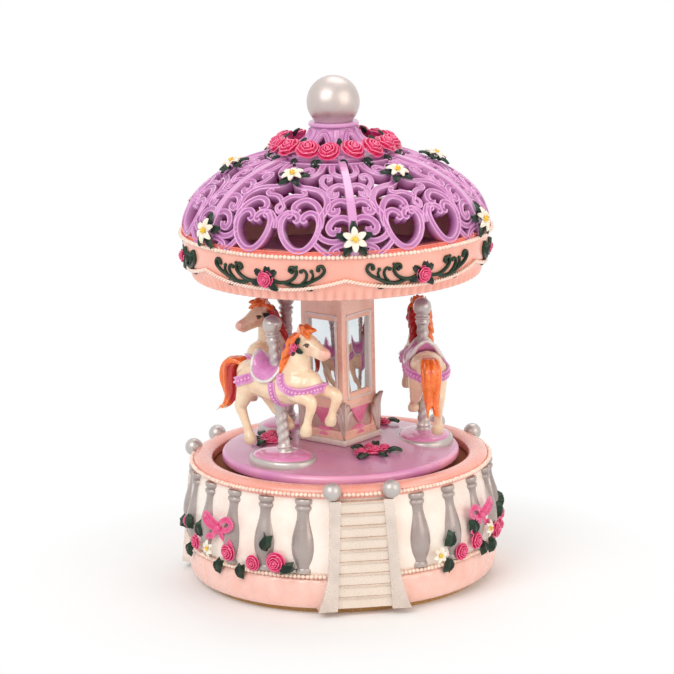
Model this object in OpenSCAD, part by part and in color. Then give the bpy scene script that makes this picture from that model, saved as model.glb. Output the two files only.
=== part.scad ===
// Carousel music box: a cast base with a recessed turntable, three horses on
// poles, a mirrored centre column and a domed lattice canopy.  The turntable
// and everything above it is carried and turned by the musical movement.
// Millimetres, +Z up, origin at the centre of the underside.
// Azimuths are measured from +X; -Y (270 degrees) is the front.

/* [Base] */
// Outer radius of the pleated plinth at its fullest
plinth_r = 53.4; // [50:0.1:58]
// Height of the pleated plinth
plinth_h = 11.2; // [9:0.1:14]
// Thickness of the felt ring under the plinth
felt_t = 1.8; // [1.2:0.1:2.4]
// How far the felt ring is set in from the plinth's edge
felt_inset = 4.9; // [4:0.1:5.4]
// Height of the top of the drum wall above the ground
drum_top = 40; // [37:0.5:46]
// How far the foot of the wall is set in from the plinth
wall_foot_inset = 1.1; // [0.9:0.1:2]
// How far the wall leans in from foot to top
wall_lean = 2; // [1:0.1:3]
// How far the wall bulges beyond a straight line
wall_bulge = 1.5; // [0.5:0.1:2]
// Thickness of the drum wall at its top
wall_t = 4.8; // [4:0.1:5.4]
// Thickness of the deck that closes the drum
deck_t = 3; // [2:0.1:4]
// Width of the rounded rim on top of the drum
rim_w = 6.6; // [5:0.1:8]
// Height of the rounded rim
rim_h = 3.8; // [3:0.1:5]
// Radius of one bead of the pearl strings
bead_rad = 0.75; // [0.5:0.05:0.9]
// Number of pleats round the plinth
plinth_pleats = 60; // [50:1:90]

/* [Wall ornament] */
// Number of balusters between two staircases
bay_balusters = 6; // [4:1:6]
// Angle between neighbouring balusters
baluster_step = 15.2; // [14:0.1:15.4]
// Radius of a baluster's belly
baluster_rad = 4.4; // [3.8:0.1:4.5]
// Azimuth of the front staircase
stair_azimuth = 277.5; // [265:0.5:290]
// Width between the stringers at the top of a staircase
stair_w = 14.4; // [12:0.1:16]
// Width of one stringer
stringer_w = 3.4; // [2.5:0.1:4]
// How far a stringer splays outwards
stringer_splay = 3; // [1:0.5:4]
// How far the foot of a stringer flares beyond its splay
stringer_flare = 13; // [4:1:18]
// Number of steps in a staircase
steps = 9; // [8:1:11]
// Radius of a newel ball
newel_rad = 3.1; // [2.5:0.1:3.4]
// Radius of the largest garland rose
rose_rad = 3.3; // [2.5:0.1:3.6]

/* [Turntable] */
// Gap between the rim and the turntable's edge
turntable_gap = 3.2; // [2:0.1:4]
// Height of the turntable's underside above the deck
turntable_lift = 1.8; // [1.4:0.1:3]
// Thickness of the turntable at its edge
turntable_edge = 3.3; // [2.5:0.1:4]
// How far the turntable's middle stands above its edge
turntable_dome = 3.3; // [2.8:0.1:4]
// Radius of the flat seat for the column
column_seat_r = 16.5; // [15.8:0.1:18]

/* [Horses] */
// Radius of the circle that the horses stand on
horse_orbit = 29.3; // [28.8:0.1:30]
// Azimuth of each horse
horse_azimuths = [5, 126, 228];
// Backward lean of each pole
pole_leans = [1, 0, 6];
// Radius of a horse's pole
pole_rad = 2.1; // [1.8:0.05:2.4]
// Radius of the ball on top of a pole
pole_ball_rad = 3.2; // [2.8:0.1:3.6]
// Height of the ball's centre above the pad
pole_h = 44; // [42:0.5:46]
// Length of the oval pad along the horse
pad_l = 25.5; // [22:0.5:26]
// Width of the oval pad
pad_w = 20; // [17:0.5:20.5]
// Height of the pad's silver side
pad_side = 3.2; // [2.4:0.1:3.8]
// Height of the pad's domed top above its side
pad_crown = 1.7; // [1:0.1:2]

/* [Column] */
// Side of the square column
column_w = 18.2; // [17:0.1:19]
// Side of the square foot of the column
foot_w = 20.8; // [20.4:0.1:21.5]
// Height of the column's foot
foot_h = 2.2; // [1.5:0.1:3]
// Azimuth that one column face looks along
column_azimuth = 231.3; // [220:0.5:240]
// Width of a corner post
post_w = 2.3; // [2:0.1:3]
// Height of the mirrors' lower edge above the turntable
mirror_low = 15.6; // [15:0.1:18]
// Height of the mirrors
mirror_h = 30; // [26:0.5:32]
// Depth of the recess that holds a mirror
recess_d = 1.6; // [1.2:0.1:2]
// Thickness of the mirror glass
mirror_t = 0.8; // [0.6:0.1:1]
// Height of the acanthus leaves on the corners
acanthus_h = 13.6; // [12:0.1:14.5]

/* [Canopy] */
// Outer radius of the canopy at its pearl string
canopy_r = 52.3; // [50:0.1:54]
// Height of the canopy's lower edge above the ground
canopy_z = 106.4; // [105:0.2:112]
// Height of the canopy's painted band
band_h = 15.2; // [14:0.1:17]
// How far the band tapers in towards its lower edge
band_taper = 3.6; // [2:0.1:5]
// Wall thickness of the band
band_t = 5; // [4:0.1:6]
// Thickness of the deck inside the canopy
canopy_deck_t = 2.5; // [2:0.1:4]
// Height of the lattice dome's full curve
dome_h = 28; // [25:0.5:31]
// Fullness of the dome's curve, 2 is an ellipse
dome_power = 2.15; // [2:0.05:2.4]
// Wall thickness of the lattice dome
lattice_t = 2.2; // [1.6:0.1:3]
// Width of a dome rib
rib_w = 2.6; // [2:0.1:3.5]
// Height of a rib above the lattice
rib_proud = 0.7; // [0.4:0.1:1.2]
// Azimuth of one dome rib
rib_azimuth = 276.5; // [260:0.5:290]
// Azimuth of one vine scroll
vine_azimuth = 243.2; // [230:0.5:255]
// Radius of the crown where it stands on the dome
crown_r = 20.5; // [19:0.1:22]
// Height of the crown
crown_h = 10.8; // [9:0.1:12]
// Radius of the finial ball
finial_rad = 9; // [8:0.1:9.6]
// Number of pleats round the valance under the rope
valance_pleats = 60; // [40:1:72]
// Number of roses in the wreath round the crown
wreath_roses = 16; // [12:1:16]
// Radius of a wreath rose
wreath_rose_rad = 3.5; // [2.6:0.1:3.7]

/* [Movement] */
// Thickness of the board that closes the base
board_t = 2.5; // [2:0.1:3]
// Depth of the key recess under the board
key_recess = 10; // [9.5:0.1:11]
// Thickness of the movement's bedplate
bedplate_t = 2.5; // [2:0.1:3]
// Radius of the winding arbor
arbor_rad = 1.5; // [1.2:0.1:1.8]
// Radius of the output shaft
shaft_rad = 2.5; // [2.2:0.1:3]
// Radius of the spring barrel
barrel_rad = 9.5; // [9:0.1:10]
// Height of the spring barrel
barrel_h = 8; // [7:0.1:9]
// Radial clearance of every shaft in its bearing
bearing_gap = 0.05; // [0.02:0.01:0.1]
// Circular pitch of the train's teeth
tooth_pitch = 1.26; // [1.2:0.02:1.3]
// Number of teeth of the great wheel
great_teeth = 45;
// Number of teeth of the cylinder's pinion
pinion_teeth = 15;
// Number of teeth of the cylinder's end wheel
end_teeth = 24;
// Number of teeth of the governor pinion
small_pinion_teeth = 8;
// Number of teeth of the governor wheel
governor_teeth = 24;
// Number of notes of the comb
notes = 18; // [12:1:20]
// Radius of the music cylinder
cylinder_rad = 5.6; // [5:0.1:5.8]
// Length of the music cylinder
cylinder_l = 18; // [16:0.1:18.5]
// How far the pins stand out of the cylinder
pin_proud = 0.5; // [0.3:0.05:0.6]
// Width across the wings of the key
key_w = 21; // [18:0.5:24]

/* [Hidden] */

$fn = 64;
// Hair's breadth between pieces that are glued or seated together
seat = 0.02;
// Overlap that keeps a cut from ending on a face
over = 1;

// ---- levels and radii of the base
wall_foot_z = felt_t + plinth_h;
wall_foot_r = plinth_r - wall_foot_inset;
wall_top_r = wall_foot_r - wall_lean;
cavity_r = wall_top_r - wall_t;
foot_core_r = wall_foot_r - 2.2;
deck_top = drum_top - 0.5;
deck_low = deck_top - deck_t;
rim_out_r = wall_top_r + 0.6;
rim_in_r = rim_out_r - rim_w;
rim_top = drum_top + rim_h;
upper_bead_r = rim_out_r + bead_rad + seat;
upper_bead_z = drum_top + 1.5;
lower_bead_z = wall_foot_z + bead_rad + seat;
lower_bead_r = wall_r(lower_bead_z) + bead_rad + seat;
board_r = cavity_r + 0.8;
board_z = key_recess;
ledge_z = board_z + board_t;
felt_r = plinth_r - felt_inset;
felt_in_r = board_r + 0.3;
boss_rad = 3;
boss_orbit = cavity_r - boss_rad - 0.6;
bay = 120;

// ---- the drum's outer curve: a straight lean with a bulge low down
function wall_t_at(z) = (z - wall_foot_z) / (drum_top - wall_foot_z);
function wall_r(z) = wall_foot_r - wall_lean * wall_t_at(z)
    + wall_bulge * sin(180 * pow(wall_t_at(z), 0.7));
wall_steps = 12;
wall_zs = [for (i = [0 : wall_steps]) wall_foot_z + (drum_top - wall_foot_z) * i / wall_steps];
wall_curve = [for (z = wall_zs) [wall_r(z), z]];
// the same curve clear of the pearl string, for what is glued above it
ornament_z0 = lower_bead_z + bead_rad + 0.1;
ornament_z1 = drum_top - 0.3;

// ---- turntable
turntable_r = rim_in_r - turntable_gap;
turntable_low = deck_top + turntable_lift;
turntable_rim_z = turntable_low + turntable_edge;
turntable_top = turntable_rim_z + turntable_dome;
shaft_top = turntable_top - 1.9;
function platform_z(r) = turntable_top
    - turntable_dome * pow(max(0, r - column_seat_r) / (turntable_r - column_seat_r), 1.5);
pad_seat_z = platform_z(horse_orbit + pad_w / 2) - 0.3;
pad_top = pad_seat_z + pad_side + pad_crown;

// ---- column and canopy
mirror_z = turntable_top + mirror_low;
band_top = canopy_z + band_h;
canopy_low_r = canopy_r - band_taper;
band_in_r = canopy_r - band_t;
canopy_deck_z = canopy_z + 2.2;
column_top = canopy_deck_z;
canopy_bead_r = canopy_r + bead_rad + seat;
band_curve = [for (i = [0 : 8]) [canopy_low_r + band_taper * sin(90 * i / 8),
    canopy_z + (band_h - 0.6) * i / 8]];
function band_r(z) = lookup(z, [for (p = band_curve) [p[1], p[0]]]);
band_tip = -atan(band_taper / band_h);

// ---- dome: a superellipse, closed by the crown
dome_end = acos(pow(crown_r / canopy_r, dome_power / 2));
function dome_point(t, inset) = [(canopy_r - inset) * pow(cos(t), 2 / dome_power),
    band_top + (dome_h - inset) * pow(sin(t), 2 / dome_power)];
function dome_r(z) = canopy_r * pow(1 - pow((z - band_top) / dome_h, dome_power), 1 / dome_power);
function dome_tip(z) = atan2(pow((z - band_top) / dome_h, dome_power - 1) / dome_h,
    pow(dome_r(z) / canopy_r, dome_power - 1) / canopy_r);
crown_z = dome_point(dome_end, 0)[1];
crown_top = crown_z + crown_h;
finial_z = crown_top + finial_rad * 0.72;

// ---- movement levels
bed_z = ledge_z;
bed_top = bed_z + bedplate_t;
barrel_z = bed_top + 1;
wheel_z = barrel_z + barrel_h;
wheel_t = 1;
tooth_h = tooth_pitch * 0.42;
tooth_w = tooth_pitch * 0.31;
crown_pitch_z = wheel_z + wheel_t + tooth_h / 2;
crown_pitch_r = great_teeth * tooth_pitch / 360 * 180 / PI;
pinion_r = pinion_teeth * tooth_pitch / 360 * 180 / PI;
end_r = end_teeth * tooth_pitch / 360 * 180 / PI;
small_r = small_pinion_teeth * tooth_pitch / 360 * 180 / PI;
governor_r = governor_teeth * tooth_pitch / 360 * 180 / PI;
mesh_gap = 0.12;
train_z = crown_pitch_z + pinion_r + mesh_gap;
wheel_y = -(end_r + small_r + mesh_gap);
worm_rad = 1.5;
worm_y = wheel_y - governor_r - worm_rad - tooth_h / 2 - mesh_gap;
train_arbor = 0.8;
pinion_x0 = crown_pitch_r - 0.7;
pinion_t = 1.6;
near_plate_x = barrel_rad + 1.7;
plate_t = 1.2;
cylinder_x0 = near_plate_x + plate_t + 0.3;
cylinder_x1 = cylinder_x0 + cylinder_l;
end_x0 = cylinder_x1 + 0.5;
end_t = 1.4;
governor_x0 = end_x0 + end_t + 0.5;
governor_t = 1;
worm_x = governor_x0 + governor_t / 2;
far_plate_x = governor_x0 + governor_t + 3.2;
bed_x0 = -12;
bed_x1 = far_plate_x + plate_t + 1;
bed_y0 = -18;
bed_y1 = 17;
comb_tip_y = cylinder_rad + pin_proud + 0.4;
fly_z = bed_top + 3.5;
key_stem_rad = 2.6;
key_top = board_z - 0.6;
key_low = felt_t + 0.4;

// ---- placing: local x runs along the surface, y up it and z out of it
module on_surface(az, r, z, tip = 0)
    rotate([0, 0, az + 90]) translate([0, -r, z]) rotate([90 - tip, 0, 0]) children();

// ---- small ornaments shared by base and canopy
// A rose: rings of petals round a bud, made as one turned form
// on a plain back that reaches down to what carries it
module rose(rad, h = 0, back = 0) {
    t = h == 0 ? rad * 0.85 : h;
    rotate_extrude($fn = 32) polygon(concat(back > 0 ? [[0, -back], [rad * 0.7, -back]] : [[0, 0]],
        [[rad * 0.7, 0], [rad, t * 0.35], [rad * 0.94, t * 0.6],
        [rad * 0.76, t * 0.56], [rad * 0.7, t * 0.82], [rad * 0.5, t * 0.76], [rad * 0.42, t],
        [rad * 0.16, t], [0, t * 0.88]]));
}

// A pointed leaf outline of given length and width, along x
module leaf_outline(l, w) {
    bow = (l * l + w * w) / (4 * w);
    intersection() {
        translate([0, w / 2 - bow]) circle(bow, $fn = 48);
        translate([0, bow - w / 2]) circle(bow, $fn = 48);
    }
}

module leaf(l, w, t) linear_extrude(t) translate([l / 2, 0]) leaf_outline(l, w);

// A lily: six narrow petals round a raised eye
module lily(rad, t, back = 0) {
    translate([0, 0, -back]) linear_extrude(t + back) {
        for (i = [0 : 5]) rotate(60 * i) translate([rad / 2, 0]) leaf_outline(rad * 1.02, rad * 0.42);
        circle(rad * 0.3, $fn = 24);
    }
    translate([0, 0, t - 0.1]) cylinder(r = rad * 0.24, h = 0.5, $fn = 24);
}

// ---- garlands: [degrees from the middle of the bay, height, size]
left_roses = [[28.5, 18.4, 1], [19, 17, 0.78], [8, 19, 0.9], [-13, 18, 0.8], [-26, 22, 0.62]];
right_roses = [[-20.6, 17, 0.86], [-11.8, 18.8, 0.86], [6, 18, 0.9], [16.5, 17, 0.78], [27, 18.4, 1]];
left_lilies = [[-2.4, 18.4, 3]];
right_lilies = [[-31.6, 18, 3], [-3, 21, 3]];
// leaves: [degrees, height, way they point, length]
left_leaves = [[35, 17.4, 200, 4.2], [24, 22.4, 75, 4.4], [13.6, 15.4, 265, 3.6],
    [3, 15.2, 250, 3.6], [-7.6, 21.6, 120, 4], [-19, 21.6, 100, 3.6], [-20, 15.4, 250, 3.4],
    [-31.5, 19.2, 160, 3.6]];
right_leaves = [[-26.4, 15.4, 250, 3.6], [-27, 20.4, 70, 4], [-13, 22, 100, 4], [-7, 17, 280, 3.4],
    [1.6, 16, 260, 3.6], [11.5, 21.4, 80, 4], [21.6, 22, 75, 4.2], [33.6, 17.4, 340, 4]];
left_bows = [[2.9, 26.5]];
right_bows = [[-8, 27]];
garland_lift = 1.7;
garland_seat = 0.3;
garland_back = garland_lift - garland_seat;
leaf_lift = 0.7;
leaf_t = 0.7;

// a bay's list with its azimuths measured from +X; the bay at the back repeats the left one
function turned(list, by) = [for (g = list)
    concat([stair_azimuth + g[0] + by], [for (i = [1 : len(g) - 1]) g[i]])];
function all_bays(left, right) = concat(turned(left, -60), turned(left, 180), turned(right, 60));
garland_rose_list = all_bays(left_roses, right_roses);
garland_lily_list = all_bays(left_lilies, right_lilies);
garland_leaf_list = all_bays(left_leaves, right_leaves);
garland_bow_list = all_bays(left_bows, right_bows);

// what the garlands need cleared behind them in the balusters, as flat-sided pockets
module pocket(r) rotate(15) cylinder(r = (r + 0.1) / cos(15), h = 8, $fn = 12);

module garland_room() {
    for (g = garland_rose_list) on_surface(g[0], wall_r(g[1]), g[1]) pocket(rose_rad * g[2]);
    for (g = garland_lily_list) on_surface(g[0], wall_r(g[1]), g[1]) pocket(g[2]);
    for (g = garland_leaf_list) on_surface(g[0], wall_r(g[1]), g[1]) rotate(g[2])
        linear_extrude(8) polygon([[-0.3, 0], [g[3] * 0.2, -g[3] * 0.29], [g[3] * 0.8, -g[3] * 0.29],
            [g[3] + 0.3, 0], [g[3] * 0.8, g[3] * 0.29], [g[3] * 0.2, g[3] * 0.29]]);
    for (g = garland_bow_list) on_surface(g[0], wall_r(g[1]) + 1.1, g[1])
        translate([-8, -5, 0]) cube([16, 10, 6]);
}

// ---- Base: one hollow casting, here with its painted bands as own pieces
module base_drum() color([0.98, 0.94, 0.88]) difference() {
    union() {
        rotate_extrude($fn = 96) polygon(concat(
            [[board_r + 0.2, felt_t], [foot_core_r, felt_t], [foot_core_r, wall_foot_z]],
            wall_curve,
            [[rim_in_r, drum_top], [rim_in_r, deck_top], [4.5, deck_top], [4.5, deck_low],
             [cavity_r, deck_low], [cavity_r, ledge_z], [board_r + 0.2, ledge_z]]));
        for (i = [0 : 2]) rotate([0, 0, stair_azimuth + bay * i])
            translate([boss_orbit, 0, ledge_z]) cylinder(r = boss_rad, h = deck_low + 1 - ledge_z);
    }
    for (i = [0 : 2]) rotate([0, 0, stair_azimuth + bay * i])
        translate([boss_orbit, 0, ledge_z - over]) cylinder(r = 1, h = 9 + over);
}

module plinth_skirt() color([0.97, 0.78, 0.74]) difference() {
    rotate_extrude($fn = 96) polygon([[foot_core_r + seat, felt_t + 0.3], [plinth_r - 2.2, felt_t + 0.3],
        [plinth_r - 1.1, felt_t + 1.2], [plinth_r - 0.4, felt_t + 2.8], [plinth_r, felt_t + 5.4],
        [plinth_r, wall_foot_z - 1.6], [plinth_r - 0.4, wall_foot_z - 0.5],
        [plinth_r - 1, wall_foot_z - seat], [foot_core_r + seat, wall_foot_z - seat]]);
    for (i = [0 : plinth_pleats - 1]) rotate([0, 0, 360 * i / plinth_pleats])
        translate([plinth_r + 0.35, 0, felt_t + 1.4])
            cylinder(r = 0.75, h = plinth_h - 3.2, $fn = 16);
}

module rim_solid() rotate_extrude($fn = 96) polygon(concat([[rim_in_r, drum_top + seat]],
    [[rim_out_r, drum_top + seat]],
    [for (a = [0 : 20 : 180]) [rim_in_r + rim_w / 2 + rim_w / 2 * cos(a),
        rim_top - 1.9 + 1.9 * sin(a)]]));

module top_rim() color([0.96, 0.68, 0.66]) difference() {
    rim_solid();
    newel_room();
}

module bead_string(r, z) translate([0, 0, z])
    rotate_extrude($fn = 96) translate([r, 0]) circle(bead_rad, $fn = 16);

module base_beads() color([0.98, 0.88, 0.82]) {
    difference() {
        bead_string(upper_bead_r, upper_bead_z);
        newel_room();
    }
    difference() {
        bead_string(lower_bead_r, lower_bead_z);
        for (i = [0 : 2]) rotate([0, 0, stair_azimuth + bay * i])
            translate([lower_bead_r - 4, -stair_half_w, lower_bead_z - 2])
                cube([10, 2 * stair_half_w, 4]);
    }
}

// turned profile of a baluster: [height fraction, radius fraction]
baluster_profile = [[0, 0.6], [0.06, 0.6], [0.1, 0.66], [0.2, 0.88], [0.33, 1], [0.44, 0.98],
    [0.56, 0.84], [0.68, 0.66], [0.78, 0.59], [0.85, 0.59], [0.87, 0.7], [1, 0.7]];
baluster_foot_r = wall_foot_r - 0.8;
baluster_head_r = wall_top_r - 0.8;

module balusters() color([0.66, 0.66, 0.66]) difference() {
    for (b = [0 : 2], k = [0 : bay_balusters - 1])
        rotate([0, 0, stair_azimuth + bay * b + bay / 2 + baluster_step * (k - (bay_balusters - 1) / 2)])
            translate([baluster_foot_r, 0, ornament_z0])
                rotate([0, -atan((baluster_foot_r - baluster_head_r) / (ornament_z1 - ornament_z0)), 0])
                    rotate_extrude($fn = 32) polygon(concat([[0, 0]],
                        [for (p = baluster_profile) [p[1] * baluster_rad,
                            p[0] * (ornament_z1 - ornament_z0)]],
                        [[0, ornament_z1 - ornament_z0]]));
    wall_core(0.04);
    garland_room();
}

// the drum's solid core, grown by a hair, that ornaments are cut back to
module wall_core(gap) rotate_extrude($fn = 288) polygon(concat([[0, wall_foot_z - 3]],
    [[wall_foot_r + gap, wall_foot_z - 3]],
    [for (p = wall_curve) [p[0] + gap, p[1]]], [[0, drum_top]]));

// ---- staircases
stair_flare = 4;
stair_half_w = (stair_w + stair_flare) / 2 + stringer_w + 0.4;
stair_low = felt_t + 1.3;
stair_top = drum_top - 0.6;
flare_h = (stair_top - stair_low) / 3;
flare_y = (stair_w + stringer_w) / 2 + (stair_top - stair_low - flare_h) * tan(stringer_splay);
stair_front_low = plinth_r + 1.1;
stair_front_top = wall_top_r + 2.3;
newel_orbit = stair_front_top - 0.2;
newel_z = drum_top + newel_rad - 0.3;
newel_angle = 10.9;

module newel_balls() color([0.78, 0.76, 0.74]) for (i = [0 : 2], s = [-1, 1])
    rotate([0, 0, stair_azimuth + bay * i + s * newel_angle])
        translate([newel_orbit, 0, newel_z]) sphere(newel_rad);

module newel_room() for (i = [0 : 2], s = [-1, 1])
    rotate([0, 0, stair_azimuth + bay * i + s * newel_angle])
        translate([newel_orbit, 0, newel_z]) sphere(newel_rad + 0.03);

module staircases() color([0.84, 0.78, 0.7]) for (i = [0 : 2])
    rotate([0, 0, stair_azimuth + bay * i]) difference() {
        union() {
            for (k = [0 : steps - 1]) {
                z0 = stair_low + (stair_top - stair_low) * k / steps;
                t = k / steps;
                front = stair_front_low + (stair_front_top - stair_front_low) * t - 0.7;
                w = stair_w + stair_flare * (1 - t);
                translate([wall_top_r - 3, -w / 2, z0])
                    cube([front - wall_top_r + 3, w, (stair_top - stair_low) / steps]);
            }
            for (s = [-1, 1]) {
                translate([0, s * (stair_w / 2 + stringer_w / 2), stair_top])
                    rotate([s * stringer_splay, 0, 0]) rotate([90, 0, 0])
                        linear_extrude(stringer_w, center = true) polygon([
                            [wall_top_r - 3, 0], [stair_front_top, 0],
                            [stair_front_low, stair_low - stair_top], [wall_top_r - 3, stair_low - stair_top]]);
                translate([0, s * flare_y, stair_low + flare_h])
                    rotate([s * (stringer_splay + stringer_flare), 0, 0]) rotate([90, 0, 0])
                        linear_extrude(stringer_w - 0.2, center = true) polygon([
                            [wall_top_r - 2.8, 0], [stair_front_low - 0.9, 0],
                            [stair_front_low - 0.25, 0.05 - flare_h], [wall_top_r - 2.8, 0.05 - flare_h]]);
            }
        }
        stair_backing();
        rotate([0, 0, -stair_azimuth - bay * i]) newel_room();
    }

// everything a staircase leans on: plinth, lower pearls and wall
module stair_backing() rotate_extrude($fn = 288) polygon(concat([[0, -over], [plinth_r + 0.05, -over],
    [plinth_r + 0.05, wall_foot_z + 0.03]],
    [for (p = wall_curve) [p[0] + 0.05, p[1] + 0.03]], [[0, drum_top + 1]]));

// ---- garland pieces
module garland_roses() color([0.88, 0.2, 0.46]) for (g = garland_rose_list)
    on_surface(g[0], wall_r(g[1]) + garland_lift, g[1])
        rose(rose_rad * g[2], rose_rad * g[2] * 0.75, garland_back);

module garland_lilies() color([0.98, 0.96, 0.9]) for (g = garland_lily_list)
    on_surface(g[0], wall_r(g[1]) + garland_lift, g[1]) lily(g[2], 0.8, garland_back);

module garland_leaves() color([0.13, 0.18, 0.15]) difference() {
    for (g = garland_leaf_list) on_surface(g[0], wall_r(g[1]) + garland_seat, g[1]) rotate(g[2])
        leaf(g[3], g[3] * 0.55, garland_back + leaf_lift + leaf_t);
    for (g = garland_rose_list) on_surface(g[0], wall_r(g[1]) - 1, g[1])
        cylinder(r = rose_rad * g[2] + 0.05, h = 8, $fn = 32);
    for (g = garland_lily_list) on_surface(g[0], wall_r(g[1]) - 1, g[1])
        cylinder(r = g[2] + 0.05, h = 8, $fn = 32);
    // a low leaf hangs in front of the lower pearls
    for (g = garland_leaf_list) if (g[1] - g[3] < lower_bead_z + bead_rad)
        on_surface(g[0], lower_bead_r + bead_rad + 0.1, lower_bead_z)
            translate([-5, -5, -8]) cube([10, 5.05 + bead_rad, 8]);
}

module bow_loop() difference() {
    translate([3.6, 0]) leaf_outline(7.2, 4.6);
    translate([3.9, 0]) leaf_outline(4.2, 2.4);
}

module garland_bows() color([0.88, 0.25, 0.55]) for (g = garland_bow_list)
    on_surface(g[0], wall_r(g[1]) + 1.3, g[1]) {
        linear_extrude(0.9) {
            rotate(28) bow_loop();
            rotate(152) bow_loop();
            rotate(-38) translate([3, 0]) leaf_outline(6.2, 1.7);
            rotate(-140) translate([2.6, 0]) leaf_outline(5.4, 1.7);
        }
        cylinder(r = 1.3, h = 1.6, $fn = 24);
    }

// ---- underside
module felt_ring() color([0.78, 0.6, 0.36]) difference() {
    cylinder(r = felt_r, h = felt_t, $fn = 96);
    translate([0, 0, -over]) cylinder(r = felt_in_r, h = felt_t + 2 * over, $fn = 96);
}

movement_screw_places = [[bed_x0 + 3, bed_y0 + 3], [bed_x1 - 3, bed_y0 + 3], [bed_x0 + 3, bed_y1 - 3]];

module movement_board() color([0.2, 0.18, 0.17]) difference() {
    translate([0, 0, board_z]) cylinder(r = board_r, h = board_t - seat, $fn = 96);
    translate([0, 0, board_z - over]) cylinder(r = arbor_rad + 1.2, h = board_t + 2 * over);
    for (i = [0 : 2]) rotate([0, 0, stair_azimuth + bay * i])
        translate([boss_orbit, 0, board_z - over]) cylinder(r = 1.3, h = board_t + 2 * over);
    for (p = movement_screw_places) translate([p[0], p[1], board_z - over])
        cylinder(r = 1.2, h = board_t + 2 * over);
}

// a pan-head screw driven upwards, its head's face at z = 0
module screw(shank_r, shank_l, head_r, head_h) {
    translate([0, 0, -seat]) cylinder(r = shank_r, h = shank_l + seat);
    difference() {
        translate([0, 0, -head_h]) cylinder(r = head_r, h = head_h - seat);
        translate([-head_r - over, -0.25, -head_h - over])
            cube([2 * (head_r + over), 0.5, over + head_h * 0.4]);
    }
}

module board_screws() color([0.7, 0.7, 0.7]) for (i = [0 : 2])
    rotate([0, 0, stair_azimuth + bay * i]) translate([boss_orbit, 0, board_z])
        screw(1 - seat, board_t + 7, 2.3, 1.5);

module deck_bush() color([0.8, 0.65, 0.3]) difference() {
    union() {
        translate([0, 0, deck_low]) cylinder(r = 4.5 - seat, h = deck_t + 0.1);
        translate([0, 0, deck_top + seat]) cylinder(r = 6.5, h = turntable_lift - 1);
    }
    translate([0, 0, deck_low - over]) cylinder(r = shaft_rad + bearing_gap, h = deck_t + 4);
}

// ---- movement: bedplate with bearing plates, comb, cylinder and governor
module bearing_plate(x, y0, y1, top) translate([x, y0, bed_top]) cube([plate_t, y1 - y0, top - bed_top]);

module movement_bedplate() color([0.72, 0.66, 0.5]) difference() {
    union() {
        translate([bed_x0, bed_y0, bed_z]) cube([bed_x1 - bed_x0, bed_y1 - bed_y0, bedplate_t]);
        cylinder_step = train_arbor + 2;
        bearing_plate(near_plate_x, -cylinder_step, cylinder_step, train_z + cylinder_step);
        bearing_plate(far_plate_x, wheel_y - cylinder_step, cylinder_step, train_z + cylinder_step);
    }
    translate([0, 0, bed_z - over]) cylinder(r = arbor_rad + bearing_gap, h = bedplate_t + 2 * over);
    translate([near_plate_x - over, 0, train_z]) rotate([0, 90, 0])
        cylinder(r = train_arbor + bearing_gap, h = plate_t + 2 * over);
    for (y = [0, wheel_y]) translate([far_plate_x - over, y, train_z]) rotate([0, 90, 0])
        cylinder(r = train_arbor + bearing_gap, h = plate_t + 2 * over);
    for (p = movement_screw_places) translate([p[0], p[1], bed_z - over])
        cylinder(r = 0.9, h = bedplate_t + 2 * over);
    translate([worm_x, worm_y, bed_top - 1]) cylinder(r = 0.5 + bearing_gap, h = over + 1);
}

comb_x0 = cylinder_x0 + 0.3;
comb_l = cylinder_l - 0.6;
comb_block_y = comb_tip_y + 6;

module comb() color([0.75, 0.76, 0.78]) {
    difference() {
        translate([comb_x0, comb_tip_y, train_z]) cube([comb_l, bed_y1 - 1 - comb_tip_y, 0.9]);
        for (i = [1 : notes - 1]) translate([comb_x0 + comb_l * i / notes - 0.15, comb_tip_y - over,
            train_z - over]) cube([0.3, comb_block_y - comb_tip_y + over, 3]);
        for (x = [0.25, 0.75]) translate([comb_x0 + comb_l * x, comb_block_y + 2, train_z - over])
            cylinder(r = 0.9, h = 4, $fn = 24);
    }
    difference() {
        translate([comb_x0, comb_block_y, bed_top + seat])
            cube([comb_l, bed_y1 - 1 - comb_block_y, train_z - bed_top - 2 * seat]);
        for (x = [0.25, 0.75]) translate([comb_x0 + comb_l * x, comb_block_y + 2, train_z - 4])
            cylinder(r = 0.9, h = 5, $fn = 24);
    }
}

module movement_screws() color([0.75, 0.75, 0.72]) {
    for (p = movement_screw_places) translate([p[0], p[1], board_z])
        screw(0.9 - seat, board_t + bedplate_t - 0.5, 1.9, 1.2);
    for (x = [0.25, 0.75]) translate([comb_x0 + comb_l * x, comb_block_y + 2, train_z + 0.9])
        rotate([180, 0, 0]) screw(0.9 - seat, 4, 1.6, 1);
}

// the cock that holds the fly's upper pivot
module governor_frame() color([0.72, 0.66, 0.5]) {
    post_y = worm_y - 3.6;
    top = train_z + 5.2;
    difference() {
        union() {
            translate([worm_x - 2, post_y - 1, bed_top + seat]) cube([4, 1.6, top - bed_top]);
            translate([worm_x - 2, post_y - 1, top]) cube([4, worm_y - post_y + 2.4, 1.4]);
        }
        translate([worm_x, worm_y, top - over]) cylinder(r = 0.5 + bearing_gap, h = 4, $fn = 24);
    }
}

// teeth standing out of a wheel's edge, narrower than the gaps between them
module spur_teeth(count, pitch_r, t, phase) for (i = [0 : count - 1])
    rotate([0, 0, 360 * (i + phase) / count])
        translate([pitch_r - tooth_h / 2 - 0.3, -tooth_w / 2, 0])
            cube([tooth_h + 0.3, tooth_w, t]);

module spur_wheel(count, pitch_r, t, phase = 0) {
    cylinder(r = pitch_r - tooth_h / 2, h = t);
    spur_teeth(count, pitch_r, t, phase);
}

// along x: local z turned onto +X, local x onto -Z
module along_x(x, y) translate([x, y, train_z]) rotate([0, 90, 0]) children();

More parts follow.
